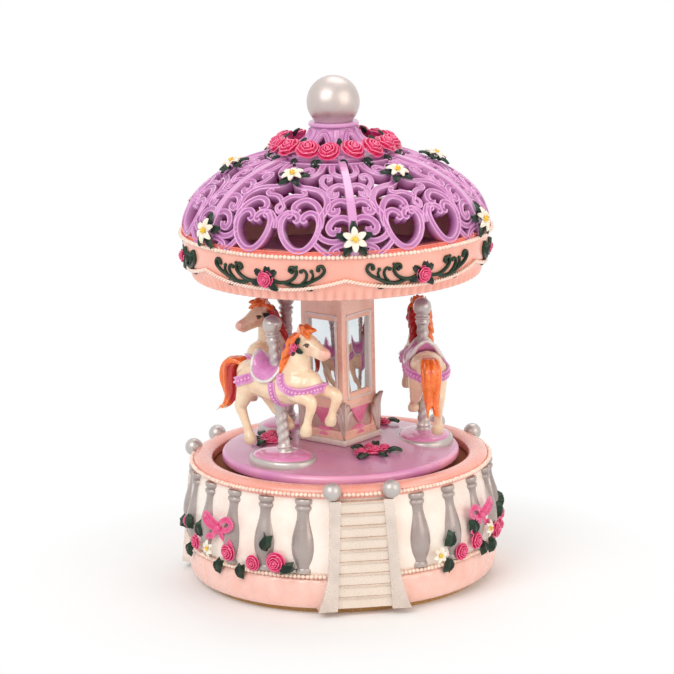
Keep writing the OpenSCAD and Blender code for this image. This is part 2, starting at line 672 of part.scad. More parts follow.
module music_cylinder() color([0.85, 0.72, 0.4]) {
    along_x(pinion_x0, 0) spur_wheel(pinion_teeth, pinion_r, pinion_t, 0.5);
    along_x(pinion_x0, 0) cylinder(r = train_arbor, h = far_plate_x + plate_t + 0.6 - pinion_x0);
    along_x(cylinder_x0, 0) cylinder(r = cylinder_rad, h = cylinder_l);
    for (n = [0 : notes - 1], k = [0 : 2])
        along_x(comb_x0 + comb_l * (n + 0.5) / notes, 0)
            rotate([0, 0, 137 * n + 120 * k + 23 * k * n]) rotate([0, 90, 0])
                translate([0, 0, cylinder_rad - 0.3]) cylinder(r = 0.2, h = pin_proud + 0.3, $fn = 16);
    along_x(end_x0, 0) spur_wheel(end_teeth, end_r, end_t, 0.25);
}

module governor_wheel() color([0.85, 0.72, 0.4]) {
    along_x(end_x0, wheel_y) spur_wheel(small_pinion_teeth, small_r, end_t, 0.25);
    along_x(end_x0, wheel_y) cylinder(r = train_arbor, h = far_plate_x + plate_t + 0.6 - end_x0);
    along_x(governor_x0, wheel_y) spur_wheel(governor_teeth, governor_r, governor_t, 0.25);
}

module governor_fly() color([0.8, 0.8, 0.78]) {
    translate([worm_x, worm_y, bed_top - 0.9]) cylinder(r = 0.5, h = train_z + 6.4 - bed_top + 0.9, $fn = 24);
    translate([worm_x, worm_y, train_z - 3]) cylinder(r = worm_rad - 0.4, h = 6, $fn = 32);
    for (k = [0 : 4]) translate([worm_x, worm_y, train_z + (k - 2) * tooth_pitch - 0.15])
        cylinder(r = worm_rad, h = 0.3, $fn = 32);
    for (s = [0, 180]) translate([worm_x, worm_y, fly_z]) rotate([0, 0, s])
        translate([0.3, -0.25, 0]) cube([2.4, 0.5, 4.5]);
}

// ---- spring barrel and the shaft that turns the platform
module spring_barrel() color([0.82, 0.68, 0.35]) difference() {
    translate([0, 0, barrel_z]) cylinder(r = barrel_rad, h = barrel_h - seat);
    translate([0, 0, barrel_z + 1]) cylinder(r = barrel_rad - 1, h = barrel_h);
    translate([0, 0, barrel_z - over]) cylinder(r = arbor_rad + bearing_gap, h = 3);
}

module great_wheel() color([0.82, 0.68, 0.35]) difference() {
    union() {
        translate([0, 0, wheel_z]) cylinder(r = crown_pitch_r + 1.1, h = wheel_t);
        for (i = [0 : great_teeth - 1]) rotate([0, 0, 360 * i / great_teeth])
            translate([crown_pitch_r - 0.8, -tooth_w / 2, wheel_z + wheel_t - 0.2])
                cube([1.9, tooth_w, tooth_h + 0.2]);
    }
    translate([0, 0, wheel_z - over]) cylinder(r = arbor_rad + bearing_gap, h = over + 0.7);
}

module output_shaft() color([0.75, 0.75, 0.75]) {
    translate([0, 0, wheel_z + wheel_t + seat])
        cylinder(r = shaft_rad, h = shaft_top - wheel_z - wheel_t - 2 * seat);
    translate([0, 0, wheel_z + wheel_t + seat]) cylinder(r = 5, h = 1.4);
}

// the coiled spring: a flat strip wound from the arbor to the barrel wall
spring_turns = 5;
spring_r0 = arbor_rad + 0.4;
spring_r1 = barrel_rad - 1.3;
spring_samples = 16 * spring_turns;
function spiral(i, grow) = let (r = spring_r0 + (spring_r1 - spring_r0) * i / spring_samples + grow)
    [r * cos(22.5 * i), r * sin(22.5 * i)];

module mainspring() color([0.5, 0.52, 0.56]) translate([0, 0, barrel_z + 1.3])
    linear_extrude(barrel_h - 1.8) polygon(concat([for (i = [0 : spring_samples]) spiral(i, 0)],
        [for (i = [spring_samples : -1 : 0]) spiral(i, 0.25)]));

module winding_arbor() color([0.6, 0.6, 0.62])
    translate([0, 0, key_low + 3]) cylinder(r = arbor_rad, h = wheel_z + 0.6 - key_low - 3);

module winding_key() color([0.8, 0.66, 0.32]) difference() {
    union() {
        translate([0, 0, key_low + 2]) cylinder(r = key_stem_rad, h = key_top - key_low - 2);
        for (s = [-1, 1]) translate([s * (key_w / 2 - 3.4), 0.8, key_low + 3.4]) rotate([90, 0, 0])
            cylinder(r = 3.4, h = 1.6, $fn = 32);
        translate([-key_w / 2 + 3.4, -0.8, key_low + 1.4]) cube([key_w - 6.8, 1.6, 4]);
    }
    translate([0, 0, key_low + 3 - seat]) cylinder(r = arbor_rad, h = key_recess);
    for (s = [-1, 1]) translate([s * (key_w / 2 - 3.4), 2, key_low + 3.4]) rotate([90, 0, 0])
        cylinder(r = 1.5, h = 4, $fn = 24);
}

// ---- turntable
platform_curve = [for (i = [0 : 8]) let (r = column_seat_r + (turntable_r - 0.6 - column_seat_r) * i / 8)
    [r, platform_z(r)]];

module turntable() color([0.78, 0.55, 0.66]) difference() {
    rotate_extrude($fn = 96) polygon(concat([[0, turntable_low], [turntable_r - 0.8, turntable_low],
        [turntable_r, turntable_low + 0.8], [turntable_r, turntable_rim_z - 0.5]],
        [for (i = [8 : -1 : 0]) platform_curve[i]], [[0, turntable_top]]));
    translate([0, 0, turntable_low - over]) cylinder(r = shaft_rad, h = shaft_top - turntable_low + over);
    for (a = horse_azimuths) rotate([0, 0, a]) translate([horse_orbit, 0, pad_seat_z])
        scale([(pad_w + 0.1) / (pad_l + 0.1), 1, 1]) cylinder(r = pad_l / 2 + 0.05, h = 10);
}

module horse_pads() color([0.88, 0.55, 0.74]) for (i = [0 : 2]) rotate([0, 0, horse_azimuths[i]])
    difference() {
        translate([horse_orbit, 0, pad_seat_z + seat]) scale([pad_w / pad_l, 1, 1])
            rotate_extrude() polygon(concat([[0, 0]],
                [[pad_l / 2 - 0.4, 0], [pad_l / 2, 0.4], [pad_l / 2, pad_side - 0.4],
                 [pad_l / 2 - 0.5, pad_side]],
                [for (a = [15 : 15 : 90]) [(pad_l / 2 - 1.4) * cos(a), pad_side + pad_crown * sin(a)]]));
        translate([horse_orbit, 0, 0]) rotate([0, 0, 90]) pole_line(i, 0.02);
    }

// ---- horses: local x forwards, z up from the top of the pad, y to the left
// a limb is a chain of balls, each [x, y, z, radius], skinned together
module limb(points, grow = 0, fn = 10) for (i = [0 : len(points) - 2]) hull() {
    translate([points[i][0], points[i][1], points[i][2]]) sphere(points[i][3] + grow, $fn = fn);
    translate([points[i + 1][0], points[i + 1][1], points[i + 1][2]])
        sphere(points[i + 1][3] + grow, $fn = fn);
}

rump = [-12.3, 0, 24, 5.9];
loin = [-2, 0, 22.4, 6.1];
chest = [10, 0, 24.4, 6.8];
withers = [8.8, 0, 29.5, 5];
crest = [9.6, 0, 34.6, 3.9];
poll = [12.4, 0, 39.6, 3.4];
cheek = [14.4, 0, 38, 3.1];
muzzle = [20.6, 0, 36.3, 2.3];
near_fore = [[8.5, -3.4, 21.5, 3.5], [16.6, -3.4, 20.2, 2.5], [14.6, -3.4, 12.6, 1.8], [14.2, -3.4, 10, 2.2]];
far_fore = [[9.5, 3.4, 22.5, 3.5], [22, 3.4, 21.8, 2.4], [19.6, 3.4, 15, 1.8], [19.2, 3.4, 12.8, 2.2]];
near_hind = [[-12.6, -3.2, 21, 4.8], [-15.8, -3.3, 13.6, 2.3], [-13, -3.3, 6.6, 1.8], [-12, -3.3, 3.4, 2.3]];
far_hind = [[-11, 3.2, 20, 4.4], [-6.4, 3.4, 13.8, 2.1], [-2.6, 3.6, 10.6, 1.8], [-0.6, 3.6, 8.4, 2.1]];

module torso(grow) limb([rump, loin, chest], grow, 14);

// the pole's centre line through horse i, as a solid rod
module pole_line(i, grow) translate([1.1, 0, pad_top - 1.4]) rotate([0, -pole_leans[i], 0])
    cylinder(r = pole_rad + grow, h = pole_h + 1.4, $fn = 40);

module at_horse(i) rotate([0, 0, horse_azimuths[i]]) translate([horse_orbit, 0, 0])
    rotate([0, 0, 90]) children();

module horse_body(i) difference() {
    translate([0, 0, pad_top]) {
        torso(0);
        limb([chest, withers, crest, poll], 0, 12);
        limb([poll, cheek, muzzle], 0, 12);
        limb(near_fore);
        limb(far_fore);
        limb(near_hind);
        limb(far_hind);
        for (s = [-1, 1]) translate([10.6, s * 1.9, 42]) rotate([s * -12, -8, 0])
            cylinder(r1 = 1.1, r2 = 0.3, h = 4.4, $fn = 12);
    }
    pole_line(i, 0.12);
}

mane = [[5.4, 0, 31, 2], [5.6, 0, 35.5, 2.3], [8.2, 0, 40.5, 2.2], [11.4, 0, 43.6, 1.8], [14.6, 0, 43.2, 1.3]];
tail = [[-17.6, 0, 28.4, 1.4], [-21.4, 0, 28.6, 2], [-24, 0, 24, 2.6], [-24.2, 0, 17, 2.7],
    [-25.6, 0, 12, 1.8], [-28, 0, 10.4, 0.8]];

module horse_mane(i) difference() {
    translate([0, 0, pad_top]) {
        limb(mane, 0, 10);
        limb(tail, 0, 10);
    }
    translate([0, 0, pad_top]) {
        torso(0.04);
        limb([chest, withers, crest, poll], 0.04, 12);
        limb([poll, cheek], 0.04, 12);
        translate([8.6, -3, 41.4]) cube([4, 6, 4.8]);
    }
    pole_line(i, 0.12);
}

saddle_x = -5.6;
module horse_saddle(i) difference() {
    translate([0, 0, pad_top]) {
        intersection() {
            torso(0.9);
            translate([saddle_x, 10, 31]) rotate([90, 0, 0]) cylinder(r = 7.6, h = 20, $fn = 32);
        }
        hull() {
            translate([saddle_x - 6, 0, 30.2]) sphere(2.2, $fn = 16);
            translate([saddle_x - 6, 0, 31.6]) rotate([90, 0, 0]) cylinder(r = 1.2, h = 5, center = true, $fn = 16);
            translate([saddle_x + 4, 0, 28.6]) sphere(2.4, $fn = 16);
        }
        intersection() {
            torso(0.7);
            union() {
                translate([7.4, 0, 22]) rotate([0, 28, 0]) cube([2.6, 24, 40], center = true);
                translate([0.6, 0, 18]) rotate([0, -14, 0]) cube([2.6, 24, 24], center = true);
                translate([-16, 0, 26]) rotate([0, -40, 0]) cube([2.6, 24, 24], center = true);
            }
        }
    }
    translate([0, 0, pad_top]) {
        torso(0.04);
        limb([chest, withers, crest], 0.04, 12);
        limb(near_fore, 0.04);
        limb(far_fore, 0.04);
        limb(near_hind, 0.04);
        limb(far_hind, 0.04);
        limb([tail[0], tail[1]], 0.04, 10);
        limb([mane[0], mane[1]], 0.04, 10);
    }
    pole_line(i, 0.12);
}

module horse_a_body() color([0.95, 0.88, 0.74]) at_horse(2) horse_body(2);
module horse_b_body() color([0.95, 0.88, 0.74]) at_horse(1) horse_body(1);
module horse_c_body() color([0.95, 0.88, 0.74]) at_horse(0) horse_body(0);
module horse_a_mane() color([0.93, 0.43, 0.1]) at_horse(2) horse_mane(2);
module horse_b_mane() color([0.93, 0.43, 0.1]) at_horse(1) horse_mane(1);
module horse_c_mane() color([0.93, 0.43, 0.1]) at_horse(0) horse_mane(0);
module horse_a_saddle() color([0.88, 0.56, 0.8]) at_horse(2) horse_saddle(2);
module horse_b_saddle() color([0.88, 0.56, 0.8]) at_horse(1) horse_saddle(1);
module horse_c_saddle() color([0.88, 0.56, 0.8]) at_horse(0) horse_saddle(0);

module horse_poles() color([0.78, 0.76, 0.74]) for (i = [0 : 2]) at_horse(i) {
    pole_line(i, 0);
    translate([1.1, 0, pad_top - 1.4]) rotate([0, -pole_leans[i], 0])
        translate([0, 0, pole_h + 1.4]) sphere(pole_ball_rad);
}

// ---- rose clusters between the horses: [azimuth, radius]
cluster_places = [[299, 24], [178, 25], [62, 25]];
cluster_roses = [[0, 0, 2.9], [4.6, 1.6, 2.3], [-4.6, 1, 2.4], [0.6, 4.8, 2]];
cluster_leaves = [[6.4, -2, -20, 4], [-6, -2.6, 200, 4], [3.8, 6, 60, 3.6], [-3.6, 5, 120, 3.8],
    [0.8, -4, -90, 3.6]];

module at_cluster(c) rotate([0, 0, c[0]]) translate([c[1], 0, 0]) rotate([0, 0, 90]) children();
function cluster_z(c, p) = platform_z(sqrt(pow(c[1] - p[1], 2) + p[0] * p[0]));

module platform_roses() color([0.88, 0.22, 0.5]) for (c = cluster_places) at_cluster(c)
    for (p = cluster_roses) translate([p[0], p[1], cluster_z(c, p) + 0.45]) rose(p[2], 3);

module platform_leaves() color([0.13, 0.18, 0.15]) difference() {
    for (c = cluster_places) at_cluster(c) for (p = cluster_leaves)
        translate([p[0], p[1], cluster_z(c, p) + 0.45]) rotate([0, 0, p[2]]) translate([-p[3] / 2, 0, 0])
            leaf(p[3], p[3] * 0.55, 0.8);
    for (c = cluster_places) at_cluster(c) for (p = cluster_roses)
        translate([p[0], p[1], turntable_low]) cylinder(r = p[2] + 0.05, h = 20, $fn = 32);
}

// ---- column
mirror_w = column_w - 2 * post_w;
panel_low = foot_h + 0.6;
panel_t = 0.9;

module column_faces() for (i = [0 : 3]) rotate([0, 0, column_azimuth + 90 * i])
    translate([column_w / 2, 0, turntable_top]) children();

module column_frame() color([0.86, 0.77, 0.75]) difference() {
    union() {
        rotate([0, 0, column_azimuth]) translate([-column_w / 2, -column_w / 2, turntable_top + seat])
            cube([column_w, column_w, column_top - turntable_top - 2 * seat]);
        rotate([0, 0, column_azimuth]) translate([-foot_w / 2, -foot_w / 2, turntable_top + seat])
            cube([foot_w, foot_w, foot_h]);
    }
    column_faces() {
        translate([-recess_d, -mirror_w / 2, mirror_low]) cube([recess_d + over, mirror_w, mirror_h]);
        translate([-recess_d, -mirror_w / 2, panel_low]) cube([recess_d + over, mirror_w,
            mirror_low - panel_low - 1.4]);
    }
}

module column_mirrors() color([0.75, 0.78, 0.8]) column_faces()
    translate([-recess_d + seat, -mirror_w / 2 + seat, mirror_low + seat])
        cube([mirror_t, mirror_w - 2 * seat, mirror_h - 2 * seat]);

// a sunk panel with a pointed apron and a half-round shell at its foot
module column_panels() color([0.93, 0.68, 0.74]) column_faces() {
    top = mirror_low - 1.4 - panel_low - 2 * seat;
    translate([-recess_d + seat, 0, panel_low + seat]) rotate([90, 0, 90]) linear_extrude(panel_t)
        polygon([[-mirror_w / 2 + seat, 0], [mirror_w / 2 - seat, 0], [mirror_w / 2 - seat, top],
            [0, top * 0.5], [-mirror_w / 2 + seat, top]]);
    translate([-recess_d + seat + panel_t, 0, panel_low + seat]) rotate([90, 0, 90])
        intersection() {
            cylinder(r = mirror_w * 0.3, h = 0.6, $fn = 48);
            translate([-mirror_w / 2, 0, -over]) cube([mirror_w, mirror_w, 3]);
        }
}

// acanthus fans that wrap the column's corners above its foot
module acanthus_leaves() color([0.78, 0.77, 0.75]) for (i = [0 : 3])
    rotate([0, 0, column_azimuth + 45 + 90 * i]) difference() {
        translate([column_w / sqrt(2) - 2.6, 0, turntable_top + foot_h + 2 * seat]) rotate([90, 0, 90])
            linear_extrude(4.2) intersection() {
                for (k = [-2 : 2]) rotate(90 + 19 * k) translate([acanthus_h * (1 - 0.06 * abs(k)) / 2, 0])
                    leaf_outline(acanthus_h * (1 - 0.06 * abs(k)), 3.4);
                translate([-10, 0]) square([20, 20]);
            }
        rotate([0, 0, -45]) translate([-column_w / 2 - seat, -column_w / 2 - seat, 0])
            cube([column_w + 2 * seat, column_w + 2 * seat, column_top]);
    }

// ---- canopy
module canopy_band() color([0.96, 0.72, 0.66]) difference() {
    rotate_extrude($fn = 96) polygon(concat([[band_in_r, canopy_z]], band_curve,
        [[canopy_r - 0.2, band_top - seat], [band_in_r, band_top - seat]]));
    for (i = [0 : valance_pleats - 1]) rotate([0, 0, 360 * i / valance_pleats])
        translate([canopy_low_r + 0.75, 0, canopy_z - over])
        cylinder(r = 0.75, h = 3.2 + over, $fn = 16);
}

module canopy_deck() color([0.9, 0.62, 0.6]) translate([0, 0, canopy_deck_z])
    cylinder(r = band_in_r - seat, h = canopy_deck_t, $fn = 96);

module canopy_beads() color([0.98, 0.88, 0.82]) bead_string(canopy_bead_r, band_top + 0.1);

// the rope droops between six points
rope_rad = 0.6;
rope_low_z = canopy_z + 4;
rope_rise = 3.4;
rope_samples = 84;
rope_sides = 6;
function rope_z(a) = rope_low_z + rope_rise * pow(1 - abs(sin(3 * (a - vine_azimuth - 30))), 1.4);
function rope_point(i, j) = let (a = 360 * i / rope_samples, z = rope_z(a),
    r = band_r(z) + rope_rad + 0.1, b = 360 * j / rope_sides)
    [(r + rope_rad * cos(b)) * cos(a), (r + rope_rad * cos(b)) * sin(a), z + rope_rad * sin(b)];

module rope_string() color([0.97, 0.85, 0.8]) polyhedron(
    points = [for (i = [0 : rope_samples - 1], j = [0 : rope_sides - 1]) rope_point(i, j)],
    faces = [for (i = [0 : rope_samples - 1], j = [0 : rope_sides - 1])
        let (n = (i + 1) % rope_samples, m = (j + 1) % rope_sides)
            [i * rope_sides + j, i * rope_sides + m, n * rope_sides + m, n * rope_sides + j]]);

// a vine is a row of curls: [along, up, radius, first angle, sweep]
vine_curls = [[3.4, -0.6, 2, 200, 140], [6.9, 1, 1.8, 20, 160], [7.4, 3.4, 1.1, 180, 200],
    [10.4, 0.6, 1.9, 190, 150], [11.4, -1.6, 1.2, 20, 200], [14.2, 1.6, 2.1, 200, 170],
    [15.2, 3.2, 0.9, 350, 200]];
vine_w = 0.9;
vine_t = 0.8;
vine_lift = 0.3;
vine_z = canopy_z + 10;

module vine_scrolls() color([0.1, 0.16, 0.12]) for (k = [0 : 5], s = [-1, 1])
    rotate([0, 0, vine_azimuth + 60 * k]) for (c = vine_curls)
        on_surface(s * c[0] / canopy_r * 180 / PI, band_r(vine_z + c[1]) + vine_lift, vine_z + c[1], band_tip)
            mirror([s < 0 ? 1 : 0, 0, 0]) rotate([0, 0, c[3]]) rotate_extrude(angle = c[4], $fn = 32)
                translate([c[2] - vine_w / 2, 0]) square([vine_w, vine_t]);

// ---- lattice openings of half a sector: hearts, scroll eyes and gaps,
// each placed by [degrees from the sector's middle, height on the dome]
module heart() {
    for (s = [-1, 1]) translate([s * 2.5, 1.6]) circle(2.7, $fn = 24);
    polygon([[-5.1, 1.1], [-3.6, -1.4], [0, -4.4], [3.6, -1.4], [5.1, 1.1], [0, 3]]);
}

module dome_cut(az, h) on_surface(az, dome_r(band_top + h) - 6, band_top + h, dome_tip(band_top + h))
    linear_extrude(12) children();

module half_sector_cuts() {
    dome_cut(10, 7.6) heart();
    dome_cut(22.4, 3.2) rotate(10) leaf_outline(6.4, 3);
    dome_cut(22.2, 8.6) rotate(20) leaf_outline(5, 2.2);
    dome_cut(21.4, 12.4) rotate(24) leaf_outline(5, 2.4);
    dome_cut(20.6, 16.2) rotate(26) leaf_outline(4.6, 2.4);
    dome_cut(7.6, 15) rotate(-14) leaf_outline(8, 4.2);
    dome_cut(13.4, 20.6) rotate(-28) leaf_outline(9, 4.8);
    dome_cut(10, 24.4) rotate(-16) leaf_outline(6, 2.6);
}

dome_steps = 11;
rib_turn = rib_w / canopy_r * 180 / PI * 1.4;

module dome_lattice() color([0.8, 0.57, 0.8]) difference() {
    union() {
        rotate_extrude($fn = 96) polygon(concat(
            [for (i = [0 : dome_steps]) dome_point(dome_end * i / dome_steps, 0)], [[crown_r - 3, crown_z]],
            [for (i = [dome_steps : -1 : 0]) dome_point(dome_end * 1.02 * i / dome_steps, lattice_t)]));
        for (k = [0 : 5]) rotate([0, 0, rib_azimuth + 60 * k - rib_turn / 2])
            rotate_extrude(angle = rib_turn, $fn = 96) polygon(concat(
                [for (i = [1 : dome_steps]) dome_point(dome_end * i / dome_steps, -rib_proud)],
                [for (i = [dome_steps : -1 : 1]) dome_point(dome_end * i / dome_steps, 0.5)]));
    }
    for (k = [0 : 5]) rotate([0, 0, rib_azimuth + 30 + 60 * k]) {
        half_sector_cuts();
        mirror([0, 1, 0]) half_sector_cuts();
        dome_cut(0, 2.2) polygon([[-1.8, -1.4], [1.8, -1.4], [0, 1.6]]);
        dome_cut(0, 12.4) leaf_outline(3, 2.6);
    }
    translate([0, 0, crown_z + seat]) cylinder(r = crown_r + 2, h = 5);
}

// ---- crown: a concave neck with six pointed windows and a cup for the ball
neck_r = finial_rad * 0.86;
crown_edge = 1.2;
crown_wall = 1.8;
crown_low = crown_z + 2 * seat;
crown_curve = [for (i = [0 : 8]) let (a = 90 * i / 8)
    [neck_r + (crown_r - neck_r) * (1 - sin(a)),
     crown_low + crown_edge + (crown_h - crown_edge - 1.6) * (1 - cos(a))]];

module dome_crown() color([0.82, 0.6, 0.82]) difference() {
    rotate_extrude($fn = 96) polygon(concat([[crown_r, crown_low]], crown_curve,
        [[neck_r + 0.9, crown_top - 1.4], [neck_r + 0.9, crown_top], [neck_r - crown_wall, crown_top]],
        [for (i = [8 : -1 : 0]) [crown_curve[i][0] - crown_wall, crown_curve[i][1] - crown_edge]]));
    for (k = [0 : 5]) rotate([0, 0, rib_azimuth + 30 + 60 * k])
        translate([crown_r - 8, 0, crown_z + 1.4]) rotate([90, 0, 90]) linear_extrude(14)
            polygon([[-2, 0], [2, 0], [1.4, 2.2], [0, 4], [-1.4, 2.2]]);
    translate([0, 0, finial_z]) sphere(finial_rad + seat);
}

module finial_ball() color([0.8, 0.8, 0.79]) translate([0, 0, finial_z]) sphere(finial_rad);

wreath_r = crown_r - 1.6;
wreath_z = crown_z + 2.7;
wreath_lift = 55;
wreath_gap_r = wreath_r * sin(180 / wreath_roses) - 0.1;

module canopy_roses() color([0.9, 0.2, 0.46]) {
    for (i = [0 : wreath_roses - 1])
        on_surface(rib_azimuth + 360 / wreath_roses * (i + 0.5), wreath_r, wreath_z, wreath_lift)
            rose(min(wreath_rose_rad, wreath_gap_r), 3);
    for (k = [0 : 5]) on_surface(vine_azimuth + 60 * k, band_r(vine_z - 2.6) + vine_lift + vine_t + 0.1,
        vine_z - 2.6, band_tip) rose(2.5, 2.2);
}

// two rows of flowers on the dome, each at its height above the band and clear of its own leaves
lower_lily_h = 5;
upper_lily_h = 23.4;
lower_leaf_lift = rib_proud + 0.1;
upper_leaf_lift = 0.4;
dome_leaf_t = 0.6;
module on_dome(az, h, lift) on_surface(az, dome_r(band_top + h), band_top + h, dome_tip(band_top + h))
    translate([0, 0, lift]) children();

module canopy_lilies() color([0.98, 0.96, 0.9]) for (k = [0 : 5]) {
    on_dome(rib_azimuth + 60 * k, lower_lily_h, lower_leaf_lift + dome_leaf_t + 0.05) lily(4, 0.8);
    on_dome(rib_azimuth + 30 + 60 * k, upper_lily_h, upper_leaf_lift + dome_leaf_t + 0.05) lily(3.6, 0.8);
}

// leaves lie under the flowers, pointing outwards from them
module leaf_ring(count, start, reach, l) for (i = [0 : count - 1])
    rotate([0, 0, start + 360 / count * i]) translate([reach, 0, 0]) leaf(l, l * 0.56, dome_leaf_t);

module canopy_leaves() color([0.13, 0.18, 0.15]) for (k = [0 : 5]) {
    on_dome(rib_azimuth + 60 * k, lower_lily_h, lower_leaf_lift) leaf_ring(5, 90, 2, 3.8);
    on_dome(rib_azimuth + 30 + 60 * k, upper_lily_h, upper_leaf_lift) leaf_ring(5, 90, 1.6, 3.2);
    on_surface(vine_azimuth + 60 * k, band_r(vine_z - 2.6) + 0.4, vine_z - 2.6, band_tip)
        for (a = [210, 330]) rotate([0, 0, a]) translate([1.8, 0, 0]) leaf(3.4, 1.9, 0.7);
}

base_drum();
plinth_skirt();
top_rim();
base_beads();
balusters();
staircases();
newel_balls();
garland_roses();
garland_lilies();
garland_leaves();
garland_bows();
felt_ring();
movement_board();
board_screws();
deck_bush();
movement_bedplate();
movement_screws();
comb();
governor_frame();
turntable();
output_shaft();
great_wheel();
spring_barrel();
mainspring();
column_frame();
column_mirrors();
column_panels();
acanthus_leaves();
horse_a_body();
horse_a_mane();
horse_a_saddle();
horse_b_body();
horse_b_mane();
horse_b_saddle();
horse_c_body();
horse_c_mane();
horse_c_saddle();
horse_poles();
horse_pads();
platform_roses();
platform_leaves();
canopy_band();
canopy_deck();
canopy_beads();
rope_string();
vine_scrolls();
dome_lattice();
dome_crown();
canopy_roses();
canopy_lilies();
canopy_leaves();
finial_ball();
music_cylinder();
governor_wheel();
governor_fly();
winding_arbor();
winding_key();
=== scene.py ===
import math
import random

import bpy
from mathutils import Matrix, Vector
from mathutils.bvhtree import BVHTree


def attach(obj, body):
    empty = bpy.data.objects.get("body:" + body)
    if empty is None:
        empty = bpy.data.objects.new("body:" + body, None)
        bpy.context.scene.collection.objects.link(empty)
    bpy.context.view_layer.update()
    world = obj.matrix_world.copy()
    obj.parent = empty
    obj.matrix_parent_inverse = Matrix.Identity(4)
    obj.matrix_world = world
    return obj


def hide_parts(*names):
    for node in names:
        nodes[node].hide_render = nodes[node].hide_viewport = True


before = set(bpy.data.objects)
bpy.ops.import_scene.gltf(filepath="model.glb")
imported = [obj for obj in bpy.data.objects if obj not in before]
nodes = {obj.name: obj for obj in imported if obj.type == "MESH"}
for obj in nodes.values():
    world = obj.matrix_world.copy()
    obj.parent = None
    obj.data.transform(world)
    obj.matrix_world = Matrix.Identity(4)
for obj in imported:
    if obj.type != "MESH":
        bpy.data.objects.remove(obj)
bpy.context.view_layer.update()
MM = 0.001

# Base drum. One hollow resin casting, painted cream between the balusters, with painted shade in dark brown
# in the well under the platform. Everything below stands on it, so its wall curve is given here too.
DRUM_TOP = 40
WALL_FOOT_Z, WALL_FOOT_R, WALL_LEAN, WALL_BULGE = 13.0, 52.3, 2.0, 1.5
STAIR_AZIMUTH = 277.5


def wall_r(z):
    up = min(max((z - WALL_FOOT_Z) / (DRUM_TOP - WALL_FOOT_Z), 0), 1)
    return WALL_FOOT_R - WALL_LEAN * up + WALL_BULGE * math.sin(math.pi * up ** 0.7)


def tint(red, green, blue):
    """A paint colour as it is mixed, 0 to 255, for a shader socket."""
    levels = [level / 255 for level in (red, green, blue)]
    return [v / 12.92 if v <= 0.04045 else ((v + 0.055) / 1.055) ** 2.4 for v in levels] + [1]


def feed(tree, node, inputs):
    """Sets a shader node's inputs: a socket is linked, a value is set."""
    for name, value in inputs.items():
        if isinstance(value, bpy.types.NodeSocket):
            tree.links.new(value, node.inputs[name])
        else:
            node.inputs[name].default_value = value


def wired(tree, kind, inputs, **settings):
    """A new shader node with its settings and inputs."""
    node = tree.nodes.new("ShaderNode" + kind)
    for key, value in settings.items():
        setattr(node, key, value)
    feed(tree, node, inputs)
    return node


def cloud(tree, place, scale, detail=2):
    return wired(tree, "TexNoise", {"Vector": place, "Scale": scale, "Detail": detail}).outputs["Fac"]


def spread(tree, value, low, high, start=0, end=1):
    """Stretches a value so that it runs from start to end between two levels."""
    return wired(tree, "MapRange", {"Value": value, "From Min": low, "From Max": high, "To Min": start,
                                    "To Max": end}).outputs["Result"]


def mixed(tree, share, under, over):
    return wired(tree, "Mix", {"Factor": share, "A": under, "B": over}, data_type="RGBA").outputs["Result"]


def dented(tree, height, strength, depth):
    """Fine relief, its depth in millimetres."""
    relief = {"Height": height, "Strength": strength, "Distance": depth * MM}
    return wired(tree, "Bump", relief).outputs["Normal"]


def blank_finish(name):
    """A new finish with its tree, its shader and the place on the piece that its patterns read."""
    finish = bpy.data.materials.new(name)
    finish.use_nodes = True
    tree = finish.node_tree
    return finish, tree, tree.nodes["Principled BSDF"], wired(tree, "TexCoord", {}).outputs["Object"]


def tune(finish, inputs):
    """Sets the inputs of a finish's shader."""
    feed(finish.node_tree, finish.node_tree.nodes["Principled BSDF"], inputs)


def paint(name, colour, shade, patch=5, rough=0.3, grain=0.04, hollow_shade=None, edge=None, metal=0, lacquer=0.3):
    """Hand-painted: colour drifts to a second colour in patches, painted shade darkens hollows, edges are
    lighter.
    """
    finish, tree, shader, place = blank_finish(name)
    drift = spread(tree, cloud(tree, place, 1 / (patch * MM), 3), 0.38, 0.66)
    coat = mixed(tree, drift, tint(*colour), tint(*shade))
    bend = wired(tree, "NewGeometry", {}).outputs["Pointiness"]
    # Painted shade: hollows, found by the mesh's pointiness, take the darker hollow colour.
    if hollow_shade:
        coat = mixed(tree, spread(tree, bend, 0.49, 0.42, 0, 0.9), coat, tint(*hollow_shade))
    if edge:
        coat = mixed(tree, spread(tree, bend, 0.52, 0.62, 0, 0.8), coat, tint(*edge))
    wear = cloud(tree, place, 1 / (patch * 0.4 * MM), 4)
    feed(tree, shader, {"Base Color": coat, "Metallic": metal, "Coat Weight": lacquer, "Coat Roughness": 0.12,
                        "Roughness": spread(tree, wear, 0.3, 0.7, rough - 0.07, rough + 0.1),
                        "Normal": dented(tree, cloud(tree, place, 1 / (0.7 * MM), 5), 0.5, grain)})
    return finish


def overpaint(finish, share, colour):
    """Lays a second colour over a paint as far as share says: a socket, or the name of a mesh's attribute."""
    tree = finish.node_tree
    if isinstance(share, str):
        share = wired(tree, "Attribute", {}, attribute_name=share).outputs["Fac"]
    under = tree.nodes["Principled BSDF"].inputs["Base Color"].links[0].from_socket
    tune(finish, {"Base Color": mixed(tree, share, under, tint(*colour))})


def dress(node, coat):
    """Gives a carried-over CAD node its finish."""
    part = nodes[node]
    if not part.material_slots:
        part.data.materials.append(None)
    for slot in part.material_slots:
        slot.link = "OBJECT"
        slot.material = coat


